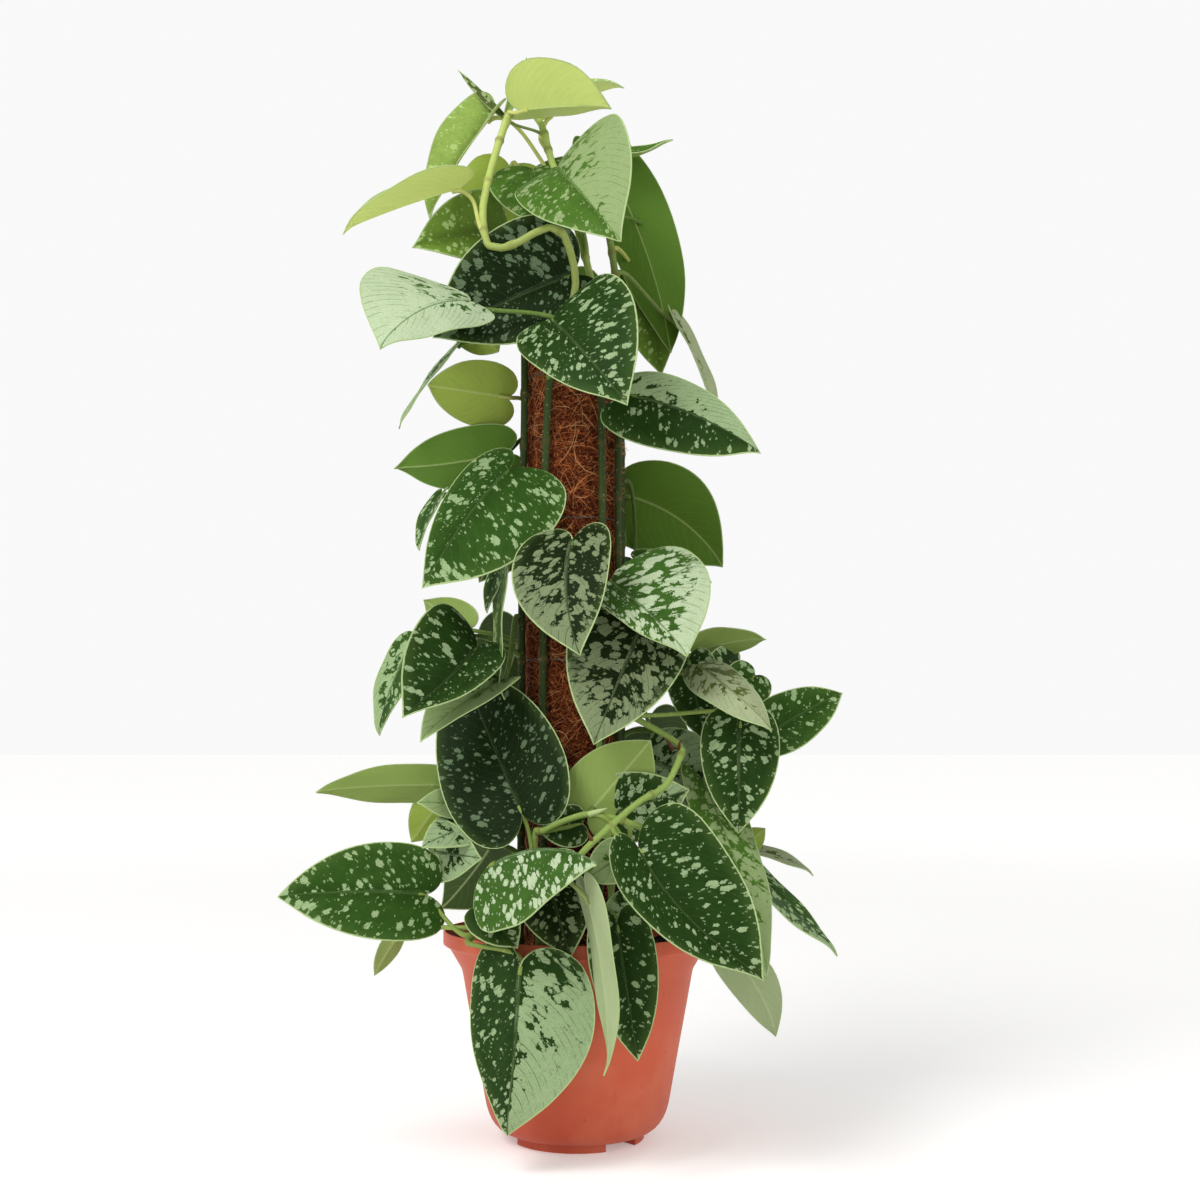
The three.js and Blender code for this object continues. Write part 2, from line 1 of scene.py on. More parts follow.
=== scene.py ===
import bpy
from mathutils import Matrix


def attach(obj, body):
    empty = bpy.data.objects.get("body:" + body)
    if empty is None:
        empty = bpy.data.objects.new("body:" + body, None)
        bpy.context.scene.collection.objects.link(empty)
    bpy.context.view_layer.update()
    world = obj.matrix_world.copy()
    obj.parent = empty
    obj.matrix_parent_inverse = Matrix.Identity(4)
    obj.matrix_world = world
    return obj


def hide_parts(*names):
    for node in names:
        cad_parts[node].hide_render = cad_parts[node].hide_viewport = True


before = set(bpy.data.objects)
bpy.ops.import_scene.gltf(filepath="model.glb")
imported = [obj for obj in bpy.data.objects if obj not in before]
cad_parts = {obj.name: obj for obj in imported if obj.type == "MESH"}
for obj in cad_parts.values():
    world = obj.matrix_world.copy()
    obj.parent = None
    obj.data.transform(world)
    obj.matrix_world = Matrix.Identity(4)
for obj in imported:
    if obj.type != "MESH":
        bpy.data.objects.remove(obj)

"""A silvery satin pothos on a coir pole in a nursery pot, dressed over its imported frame.

Sizes are in millimetres, as in the frame's source, and meshes are written in metres.
"""
import logging
import math
from collections.abc import Callable, Iterator
from contextlib import contextmanager
from dataclasses import dataclass, field
from enum import Enum

import bpy
import numpy as np
from mathutils import Vector

log = logging.getLogger("pothos")
Point = tuple[float, float, float]
Socket = bpy.types.NodeSocket
Thing = bpy.types.Object
MM = 0.001

EYE = np.array([15.6, -1100.0, 272.0])  # where the plant is looked at from
EYE_PITCH_DEG = 5.2
LENS_MM = 46.5
POLE_X = -4.6  # the pole stands a little left of the pot's axis


def linear(code: str) -> tuple[float, float, float, float]:
    """A colour picked as sRGB hex, as the linear RGBA that shaders use.

    Args:
        code: Six hex digits, such as "2f6a33".

    Returns:
        Linear red, green, blue and an alpha of one.
    """
    parts = [int(code[i:i + 2], 16) / 255 for i in (0, 2, 4)]
    out = [c / 12.92 if c <= 0.04045 else ((c + 0.055) / 1.055) ** 2.4 for c in parts]
    return (out[0], out[1], out[2], 1.0)


def unit(v: np.ndarray) -> np.ndarray:
    """The vector at length one."""
    return v / np.linalg.norm(v)


def seen(across: float, up: float, toward: float) -> np.ndarray:
    """A place by where it is seen on the upright plane through the pot's axis.

    Args:
        across: Millimetres to the right on that plane.
        up: Millimetres above the floor on that plane.
        toward: Depth from the plane toward the eye.

    Returns:
        The place in the frame, in millimetres.
    """
    on_plane = np.array([across, 0.0, up])
    return EYE + (on_plane - EYE) * (-EYE[1] - toward) / -EYE[1]


def through(points: np.ndarray, steps: int = 16) -> np.ndarray:
    """A smooth line that passes through points, its ends mirrored on.

    Args:
        points: The points, one a row.
        steps: Samples for each stretch.

    Returns:
        The samples, one a row.
    """
    p = np.vstack([2 * points[0] - points[1], points, 2 * points[-1] - points[-2]])
    t = np.arange(steps)[:, None] / steps
    out = []
    for a, b, c, d in zip(p, p[1:], p[2:], p[3:]):
        out.append(0.5 * (2 * b + (c - a) * t + (2 * a - 5 * b + 4 * c - d) * t ** 2
                          + (3 * b - a - 3 * c + d) * t ** 3))
    return np.vstack(out + [points[-1:]])


def evenly(line: np.ndarray, count: int) -> np.ndarray:
    """The same line with its points evenly spaced.

    Args:
        line: The line's points, one a row.
        count: How many points to give it.

    Returns:
        The new points, one a row.
    """
    run = np.concatenate([[0], np.cumsum(np.linalg.norm(np.diff(line, axis=0), axis=1))])
    at = np.linspace(0, run[-1], count)
    return np.stack([np.interp(at, run, line[:, k]) for k in range(line.shape[1])], 1)


class Tone(Enum):
    """Colours of blades, as (ground of the upper face, underside, silver marks); some rows are darker
    copies, which hold painted shade, and one is a brighter copy, which holds painted light.
    """

    DARK = ("274218", "66803c", "97ac80")
    GREEN = ("36581f", "507222", "9ab181")
    # painted light: a brighter copy of the green, its silver whiter too, for leaves the light falls on
    # fully
    LIT = ("456a2a", "66803c", "bac9a6")
    MOSS = ("4f7529", "869c50", "8fa070")
    OLIVE = ("626f36", "8c9a58", "a0aa86")
    FRESH = ("76983a", "9bb04c", "a9c07e")
    YOUNG = ("a8c464", "cad97c", "b4cc86")
    # painted shade: a darker copy of the green, its silver dimmed too, for leaves that sit in shade
    SHADE = ("1b280f", "466420", "7f8c67")
    # painted shade: a still darker copy, silver dimmed most, for the leaves in the deepest shade
    NIGHT = ("1a2a13", "3a5220", "64785a")
    PALE = ("8a9f74", "a3b184", "a9b792")
    # painted shade: a dark underside for the back leaves that lie in the plant's shade
    DEEP = ("2b461d", "30441a", "8fa37a")


class Habit(Enum):
    """How a stem grows, as (its radius, its colour at the foot, colour of its leaves' stalks)."""

    CLIMBER = (2.7, "2c3a16", "5b7434")
    RUNNER = (2.2, "6d8440", "93a852")


@dataclass(frozen=True)
class Spur:
    """A bit of old sheath or bud left standing on a stem."""

    vine: str
    path: tuple[Point, ...]  # as seen()
    radius: float
    colour: str


@dataclass(frozen=True)
class Leaf:
    """One leaf: where it hangs, how its blade is shaped and how it is marked."""

    place: float  # where its stalk leaves the vine, 0 at the foot and 1 at the tip
    base: Point  # (across, up, toward), see seen()
    tip: Point
    turn: float  # degrees the face is turned away from the eye; 180 shows the underside
    breadth: float  # greatest breadth / length
    bend: float  # degrees along the midrib
    fold: float  # degrees each half is lifted
    tone: Tone
    silver: tuple[float, float]  # how silvered the left and the right half are, 0 to 1
    skew: float = 0.0  # how much wider the right half is
    bow: float = 0.0  # how far the midrib bows sideways / length


@dataclass(frozen=True)
class Vine:
    """One stem with its leaves."""

    name: str
    habit: Habit
    tip_colour: str
    points: tuple[Point, ...]  # (x, y, z)
    seen_points: tuple[Point, ...]  # further points, as seen()
    leaves: tuple[Leaf, ...]


D, G, M, O, F = Tone.DARK, Tone.GREEN, Tone.MOSS, Tone.OLIVE, Tone.FRESH
Y, S, P, B, N, L = Tone.YOUNG, Tone.SHADE, Tone.PALE, Tone.DEEP, Tone.NIGHT, Tone.LIT
CLIMBER, RUNNER = Habit.CLIMBER, Habit.RUNNER

VINES = (
    Vine("vine_front_left", CLIMBER, "b4c46a",
         ((-20, -34, 100), (-23.5, -33, 250), (-23, -33.5, 400), (-20, -35, 520), (-8, -37, 562)),
         ((-2, 607, 38), (-13, 643, 46), (-29, 642, 50), (-47, 632, 50), (-65, 630, 48),
          (-70, 655, 38), (-66, 680, 26), (-58, 710, 13), (-51, 730, 8)),
         (Leaf(1.0, (-43, 733, 18), (24, 736, 16), -132, 0.95, 12, 28, Y, (0.05, 0.05), -0.15),
          Leaf(0.99, (-51, 735, 3), (-38, 774, 0), 0, 0.16, 20, 0, Y, (0.0, 0.0)),
          Leaf(0.85, (-88, 674, 30), (-173, 642, 46), 92, 0.54, 8, 42, Y, (0.05, 0.05)),
          Leaf(0.64, (-79, 590, 62), (-144, 556, 110), 38, 1.0, 40, -12, L, (0.85, 0.9), -0.45, -0.06),
          Leaf(0.68, (-6, 609, 24), (-106, 564, 32), 20, 0.84, 10, 18, N, (0.5, 0.38), -0.1),
          Leaf(0.6, (-19, 576, 62), (35, 514, 124), -8, 0.74, 50, 6, D, (0.42, 0.42), 0.22),
          Leaf(0.37, (-4, 415, 80), (1, 333, 114), 8, 0.75, 25, 5, S, (0.59, 0.54), -0.12, -0.06))),
    Vine("vine_front_right", CLIMBER, "a9bd66",
         ((14, -36, 100), (17, -31.5, 300), (17, -31.5, 480), (14, -33, 560)),
         ((8, 610, 20), (-6, 660, 0), (-20, 695, -10), (-26, 719, -14), (-33, 731, -16)),
         (Leaf(0.95, (-24, 727, -32), (33, 752, -32), -80, 0.75, 20, 35, Y, (0.1, 0.1)),
          Leaf(0.97, (-59, 732, -14), (-89, 764, -14), 20, 0.14, -20, 0, O, (0.4, 0.4)),
          Leaf(0.9, (-64, 728, -20), (-110, 650, -12), 45, 0.52, 20, 45, Y, (0.25, 0.2)),
          Leaf(0.85, (-33, 688, -15), (-24, 645, 25), 0, 0.95, 20, 5, M, (0.3, 0.3)),
          Leaf(0.8, (-15, 690, 20), (30, 636, 95), -4, 0.76, 45, 10, M, (0.4, 0.8), 0.17),
          Leaf(0.2, (8, 222, 60), (52, 273, 70), 180, 0.85, 20, 5, M, (0.2, 0.2)),
          Leaf(0.18, (16, 220, 56), (79, 238, 66), 0, 0.75, 20, 5, D, (0.52, 0.52)))),
    Vine("vine_left", CLIMBER, "7c9048",
         ((-40, -18, 100), (-39, -15, 250), (-39.5, -14, 400), (-38, -17, 520), (-40, -12, 600),
          (-46, -2, 640)), (),
         (Leaf(0.97, (-57, 641, -20), (-120, 631, 35), 22, 0.72, 30, 22, F, (0.3, 0.3)),
          Leaf(0.84, (-85, 560, 5), (-131, 497, 0), 85, 0.45, 10, 5, G, (0.6, 0.6)),
          Leaf(0.85, (-82, 573, 0), (-57, 552, 10), 180, 0.8, 20, 5, F, (0.15, 0.15)),
          Leaf(0.66, (-50, 466, 44), (-111, 381, 80), 4, 0.67, 25, 10, G, (0.38, 0.32), 0.4, -0.03),
          Leaf(0.42, (-72, 338, 50), (-124, 290, 110), 20, 0.76, 25, 24, D, (0.3, 0.22), -0.25, 0.05),
          Leaf(0.47, (-57, 314, 46), (-112, 273, 84), 40, 0.62, 20, 30, M, (0.85, 0.85)),
          Leaf(0.55, (-52, 397, 50), (-55, 301, 45), 80, 0.45, 10, 5, M, (0.5, 0.5)),
          Leaf(0.57, (-56, 397, 35), (-66, 363, 35), 60, 0.6, 10, 5, D, (0.3, 0.3)),
          Leaf(0.22, (-77, 227, 38), (-113, 229, 60), 20, 0.6, 20, 5, M, (0.85, 0.85)),
          Leaf(0.2, (-73, 213, 50), (-110, 198, 70), 40, 0.8, 20, 5, D, (0.6, 0.6)),
          Leaf(0.17, (-104, 196, 45), (-68, 190, 72), 0, 0.9, 15, 5, D, (0.6, 0.6)))),
    Vine("vine_right", CLIMBER, "7c9048",
         ((30, -22, 100), (28.5, -18, 250), (28.5, -18, 400), (29, -18, 520), (34, -12, 590)), (),
         (Leaf(0.82, (38, 521, 50), (131, 479, 80), -15, 0.52, 20, 5, D, (0.22, 0.8), -0.25, 0.04),
          Leaf(0.58, (24, 385, 60), (78, 333, 105), -30, 0.9, 25, 5, L, (0.54, 0.62), 0.45),
          Leaf(0.5, (50, 361, 60), (11, 270, 95), 5, 0.78, 20, 5, S, (0.57, 0.57), -0.12),
          Leaf(0.42, (79, 329, 10), (90, 271, 25), 0, 0.62, 20, 5, D, (0.3, 0.26)),
          Leaf(0.4, (86, 326, 50), (138, 280, 90), -35, 0.5, 50, -20, O, (0.72, 0.62), 0.1, -0.05))),
    Vine("vine_rear_right", CLIMBER, "7c9048",
         ((32, 14, 100), (31, 13.5, 300), (31, 13.5, 500), (28, 14, 600), (18, 16, 670)), (),
         (Leaf(1.0, (19, 696, -45), (67, 549, -15), 170, 0.32, 20, 10, G, (0.3, 0.3), -0.1, -0.05),
          Leaf(0.93, (45, 604, -50), (60, 535, -40), -5, 0.55, 30, 10, F, (0.12, 0.2)),
          Leaf(1.0, (10, 698, -30), (68, 712, -35), -80, 0.45, -50, 20, M, (0.4, 0.4)),
          Leaf(0.97, (50, 640, -60), (70, 580, -95), 170, 0.6, 30, 8, G, (0.4, 0.4)),
          Leaf(0.9, (71, 575, -20), (102, 500, -10), -75, 0.36, 12, 10, O, (0.85, 0.85)),
          Leaf(0.55, (33, 448, -37), (104, 396, -38), 198, 0.82, 10, -8, G, (0.2, 0.2), 0, -0.1),
          Leaf(0.5, (44, 401, 10), (96, 386, 10), -60, 0.6, 25, 5, G, (0.5, 0.5)),
          Leaf(0.62, (40, 400, -60), (62, 345, -105), 170, 0.75, 30, 8, B, (0.45, 0.4)),
          Leaf(0.4, (83, 336, -20), (134, 345, -10), -130, 0.65, 20, 5, M, (0.3, 0.3)),
          Leaf(0.38, (113, 326, -32), (84, 318, 0), 0, 0.7, 20, 5, D, (0.4, 0.4)),
          Leaf(0.36, (125, 318, -10), (100, 290, 10), 0, 0.8, 20, 5, G, (0.35, 0.35)),
          Leaf(0.35, (50, 280, -55), (80, 225, -95), 165, 0.75, 30, 8, B, (0.4, 0.5)),
          Leaf(0.3, (132, 276, 10), (188, 307, 0), -20, 0.65, 20, 5, G, (0.32, 0.3)),
          Leaf(0.25, (55, 258, 5), (120, 235, 15), 0, 0.8, 20, 5, D, (0.65, 0.65)),
          Leaf(0.22, (60, 215, -50), (95, 165, -85), 150, 0.75, 30, 8, B, (0.4, 0.4)),
          Leaf(0.2, (90, 241, 30), (134, 109, 100), -40, 0.31, 15, 5, M, (0.62, 0.6)),
          Leaf(0.18, (114, 196, 20), (132, 211, 25), 180, 0.8, 15, 5, F, (0.3, 0.3)),
          Leaf(0.16, (120, 186, 20), (183, 124, 40), -70, 0.55, 10, 5, G, (0.55, 0.5), -0.3, -0.08),
          Leaf(0.16, (115, 197, 0), (166, 179, 10), -70, 0.45, 30, 5, O, (0.75, 0.75)),
          Leaf(0.12, (108, 122, 80), (138, 67, 95), 180, 0.54, 15, 5, P, (0.3, 0.3), 0, -0.08))),
    Vine("vine_rear_left", CLIMBER, "7c9048",
         ((-40, 16, 100), (-39, 14.5, 300), (-38.5, 15, 500), (-36, 18, 600), (-34, 24, 660)), (),
         (Leaf(1.0, (-50, 688, -45), (-62, 632, -35), 180, 1.05, 20, 5, F, (0.05, 0.05)),
          Leaf(0.75, (-53, 519, 0), (-110, 528, 35), 180, 0.74, 20, 5, F, (0.2, 0.2)),
          Leaf(0.7, (-54, 478, 0), (-130, 468, -40), 165, 0.52, -40, 10, G, (0.3, 0.3)),
          Leaf(0.6, (-99, 448, 0), (-115, 408, 10), 70, 0.6, 25, 8, G, (0.4, 0.4)),
          Leaf(0.42, (-80, 352, 0), (-110, 372, -10), 180, 0.8, 25, 5, M, (0.3, 0.3)),
          Leaf(0.4, (-118, 340, -10), (-142, 276, -10), 60, 0.65, 20, 5, G, (0.6, 0.5)),
          Leaf(0.25, (-96, 241.5, 20), (-185, 237, 30), 150, 0.36, 15, 5, M, (0.3, 0.3)))),
    Vine("vine_back_right", CLIMBER, "6a7c3e",
         ((8, 37, 100), (8.5, 35.5, 300), (8.5, 35.5, 500), (6, 38, 600)), (),
         (Leaf(0.95, (-8, 610, -70), (-25, 545, -115), 180, 0.75, 30, 8, G, (0.5, 0.4)),
          Leaf(0.8, (-2, 520, -75), (-8, 455, -105), 180, 0.72, 30, 8, D, (0.35, 0.4)),
          Leaf(0.68, (0, 455, -70), (10, 400, -120), 170, 0.75, 30, 8, B, (0.6, 0.8)),
          Leaf(0.5, (5, 340, -75), (15, 275, -120), 175, 0.75, 30, 8, B, (0.4, 0.35)),
          Leaf(0.3, (0, 235, -80), (-15, 190, -135), 180, 0.8, 35, 8, B, (0.5, 0.55)),
          Leaf(0.18, (-30, 170, -85), (-50, 130, -125), 185, 0.8, 35, 8, B, (0.4, 0.4)),
          Leaf(0.12, (30, 180, -72), (46, 140, -116), 175, 0.75, 35, 8, B, (0.6, 0.5)))),
    Vine("vine_back_left", CLIMBER, "6a7c3e",
         ((-20, 36, 100), (-20, 34.5, 250), (-20, 34.5, 420), (-22, 36, 500)), (),
         (Leaf(0.9, (-45, 440, -60), (-70, 385, -100), 190, 0.78, 30, 8, B, (0.45, 0.4)),
          Leaf(0.7, (-40, 350, -60), (-60, 290, -105), 185, 0.78, 30, 8, B, (0.8, 0.5)),
          Leaf(0.5, (-50, 270, -60), (-85, 215, -105), 190, 0.8, 30, 8, B, (0.35, 0.4)),
          Leaf(0.25, (-60, 200, -55), (-95, 155, -95), 200, 0.8, 30, 8, B, (0.5, 0.6)),
          Leaf(0.2, (-97, 230, -10), (-117, 201, -10), 180, 0.85, 20, 5, F, (0.15, 0.15)))),
    Vine("runner_right", RUNNER, "8fa854",
         ((24, -44, 100), (22, -44, 200)),
         ((14, 290, 50), (30, 292, 56), (48, 284, 60), (72, 269, 66), (71, 258, 72), (61, 240, 82),
          (44, 230, 91), (26, 215, 98), (8, 199, 104), (0, 190, 106)),
         (Leaf(0.58, (115, 286, 45), (113, 207, 60), 0, 0.68, 30, 5, D, (0.42, 0.42)),
          Leaf(0.92, (43, 197, 104), (131, 107, 150), -32, 0.67, 15, 10, D, (0.22, 0.22), 0.26, -0.1))),
    Vine("runner_middle", RUNNER, "8fa854",
         ((-22, -58, 100), (-26, -60, 160)),
         ((-30, 205, 66), (-24, 209, 72), (-7, 217, 80), (12, 221, 84), (38, 214, 86), (52, 209, 82)),
         (Leaf(0.42, (-40, 222, 68), (-83, 325, 12), -10, 0.7, 10, 8, N, (0.28, 0.22), 0),
          Leaf(0.6, (2, 214, 63.5), (-27, 208, 67), 0, 1, 20, 5, D, (0.3, 0.3)),
          Leaf(0.36, (-62, 186, 92), (13, 188, 150), -66, 1.1, 40, -45, L, (0.5, 0.52), 0, 0.05),
          Leaf(0.38, (7, 164, 128), (22, 41, 134), -110, 0.38, 15, 5, P, (0.8, 0.8)),
          Leaf(0.3, (-23, 185, 78), (-5, 121, 102), 0, 0.8, 20, 5, S, (0.48, 0.45)),
          Leaf(0.34, (28, 144, 100), (42, 50, 104), 0, 0.5, 10, 5, D, (0.26, 0.26)),
          Leaf(0.8, (43, 157, 82), (14, 130, 103), 0, 0.8, 15, 5, D, (0.62, 0.62)),
          Leaf(0.9, (33, 193, 85), (5, 175, 96), 0, 0.9, 15, 5, M, (0.8, 0.8)))),
    Vine("runner_rim", RUNNER, "8fa854",
         ((-38, -40, 100), (-42, -48, 140), (-50, -60, 151), (-60, -71, 151), (-68, -80, 145)), (),
         (Leaf(0.95, (-107, 165, 70), (-211, 164, 100), 12, 0.66, 40, 12, G, (0.36, 0.34)),
          Leaf(1.0, (-40, 115, 110), (-50, -1, 106), 25, 0.9, 15, -25, D, (0.32, 0.75), 0, 0.03),
          Leaf(0.93, (-66, 156, 84), (-42, 128, 101), -10, 0.9, 20, 5, D, (0.25, 0.25)),
          Leaf(0.8, (-127, 135, 40), (-142, 109, 40), 160, 0.5, 15, 5, O, (0.2, 0.2)))),
)

SPURS = (
    Spur("runner_right", ((67, 266, 68), (64, 271, 71), (60.5, 275, 72)), 1.3, "4a1f14"),
    Spur("runner_right", ((71, 266, 68), (72, 271, 71), (74, 273.5, 72)), 1.1, "5a2a18"),
    Spur("runner_right", ((10, 202, 104), (8, 206, 106), (5.5, 209, 107)), 1.2, "6b452c"),
    Spur("runner_middle", ((8, 220.5, 84), (14, 222.5, 87), (20.5, 225, 89)), 2.0, "b4c688"),
)


class Blade:
    """The shape of one leaf's blade and stalk, worked out from its row."""

    HALF_OUTLINE = np.array([
        (0, 0), (-0.06, 0.07), (-0.12, 0.24), (-0.135, 0.50), (-0.065, 0.80), (0.09, 0.98),
        (0.27, 1.02), (0.45, 0.95), (0.62, 0.79), (0.77, 0.55), (0.88, 0.30), (0.95, 0.12), (1, 0),
    ], float)
    RIB_START = 0.25  # share of the margin that belongs to the base of the midrib
    RIB_EASE = 1.9
    SWEEP = 0.06
    CHANNEL_DEEP, CHANNEL_WIDE = 0.55, 1.3  # the groove along the midrib
    QUILTS = 15  # bulges between the side veins
    DRIP_TIP = 0.86  # share of the length where the tip starts to droop
    CURL_FROM = 0.6  # share of the way out where the margin starts to curl
    STALK_POINTS = 16

    def __init__(self, leaf: Leaf, seed: int) -> None:
        """Sets up the blade's own axes, length and breadth.

        Args:
            leaf: Its row.
            seed: Number that its waves and marks are drawn from.
        """
        self.leaf = leaf
        self.seed = seed
        self.base = seen(*leaf.base)
        chord = seen(*leaf.tip) - self.base
        span = float(np.linalg.norm(chord))
        self.along = chord / span
        facing = unit(EYE - self.base)
        facing = unit(facing - self.along * (facing @ self.along))
        turn = math.radians(leaf.turn)
        self.normal = facing * math.cos(turn) + np.cross(self.along, facing) * math.sin(turn)
        self.across = np.cross(self.normal, self.along)
        self.bend = math.radians(leaf.bend)
        self.length = span * (self.bend / 2) / math.sin(self.bend / 2)
        self.half = leaf.breadth * self.length / 2
        line = through(self.HALF_OUTLINE)
        run = np.hypot(np.diff(line[:, 0]), 0.4 * np.diff(line[:, 1]))
        self.run = np.concatenate([[0], np.cumsum(run)])
        self.run /= self.run[-1]
        self.line = line
        self.margin_length = float(np.sum(np.hypot(
            np.diff(line[:, 0]) * self.length, np.diff(line[:, 1]) * self.half)))

    def flat(self, s: np.ndarray, t: np.ndarray) -> tuple[np.ndarray, np.ndarray]:
        """Places on the flat blade.

        Args:
            s: Shares of the way round the margin, from base to tip.
            t: Shares of the way from midrib to margin.

        Returns:
            Distance along the midrib and distance off it, in millimetres.
        """
        ex = np.interp(s, self.run, self.line[:, 0]) * self.length
        ey = np.interp(s, self.run, self.line[:, 1]) * self.half
        rib = self.length * np.clip((s - self.RIB_START) / (1 - self.RIB_START), 0, 1) ** self.RIB_EASE
        mx = (rib + ex) / 2 - self.SWEEP * self.length * np.clip(ey / self.half, 0, 1)
        x = (1 - t) ** 2 * rib + 2 * t * (1 - t) * mx + t * t * ex
        return x, 2 * t * (1 - t) * ey / 2 + t * t * ey

    def place(self, x: np.ndarray, y: np.ndarray, lift: np.ndarray | float = 0.0) -> np.ndarray:
        """Bends and folds places of the flat blade into the frame.

        Args:
            x: Distances along the midrib.
            y: Distances off it, right half positive.
            lift: Height over the folded blade.

        Returns:
            Points, one a row, in millimetres.
        """
        off = y * (1 + self.leaf.skew * np.sign(y))
        fold = math.radians(self.leaf.fold)
        rise = np.abs(off) * math.sin(fold) + lift
        angle = self.bend / 2 - x * self.bend / self.length
        radius = self.length / self.bend
        run = radius * (math.sin(self.bend / 2) - np.sin(angle)) - np.sin(angle) * rise
        up = radius * (np.cos(angle) - math.cos(self.bend / 2)) + np.cos(angle) * rise
        aside = 4 * self.leaf.bow * x * (self.length - x) / self.length
        return (self.base + run[:, None] * self.along + up[:, None] * self.normal
                + (off * math.cos(fold) + aside)[:, None] * self.across)

    def relief(self, x: np.ndarray, y: np.ndarray, s: np.ndarray, t: np.ndarray) -> np.ndarray:
        """Height of the blade's own waves: midrib channel, quilting and wavy margin.

        Args:
            x: Distances along the midrib.
            y: Distances off it.
            s: Shares round the margin.
            t: Shares from midrib to margin.

        Returns:
            Heights in millimetres.
        """
        rng = np.random.default_rng(self.seed)
        size = self.length / 100
        side = np.where(y < 0, 1.0, 0.0)
        wave = np.sin(2 * math.pi * (s * rng.uniform(2.2, 3.2) + rng.uniform() + 0.37 * side))
        quilt = np.sin(2 * math.pi * s * self.QUILTS + 1.9 * side) * np.sin(math.pi * np.clip(t, 0, 1))
        fade = np.clip((self.length - x) / self.length, 0.2, 1)
        channel = -self.CHANNEL_DEEP * np.exp(-((y / self.CHANNEL_WIDE) ** 2)) * fade
        past = np.clip((x / self.length - self.DRIP_TIP) / (1 - self.DRIP_TIP), 0, 1)
        droop = -0.03 * self.length * past ** 2
        out = np.clip((t - self.CURL_FROM) / (1 - self.CURL_FROM), 0, 1)
        curl = rng.uniform(-0.9, 0.5) * size * out ** 2
        return channel + size * (0.9 * wave * t ** 2 + 0.22 * quilt) + droop + curl

    def stalk(self, start: np.ndarray, vine_along: np.ndarray) -> np.ndarray:
        """The stalk's line from the vine to under the base of the blade.

        Args:
            start: Its place on the vine.
            vine_along: The vine's direction there.

        Returns:
            Points, one a row, in millimetres.
        """
        half = self.bend / 2
        rib = self.along * math.cos(half) + self.normal * math.sin(half)
        under = self.normal * math.cos(half) - self.along * math.sin(half)
        reach = float(np.linalg.norm(self.base - start))
        outward = unit(np.array([start[0] - POLE_X, start[1], 0.0]))
        neck = self.base - under * 1.5
        p1 = start + (0.8 * vine_along + 0.5 * outward) * min(0.35 * reach, 25)
        p2 = neck - (0.45 * under + 0.75 * rib) * min(0.45 * reach, 40)
        t = np.linspace(0, 1, self.STALK_POINTS)[:, None]
        line = ((1 - t) ** 3 * start + 3 * t * (1 - t) ** 2 * p1
                + 3 * t * t * (1 - t) * p2 + t ** 3 * neck)
        end = self.base + rib * 5 - under * 1.1
        return np.vstack([line, end])


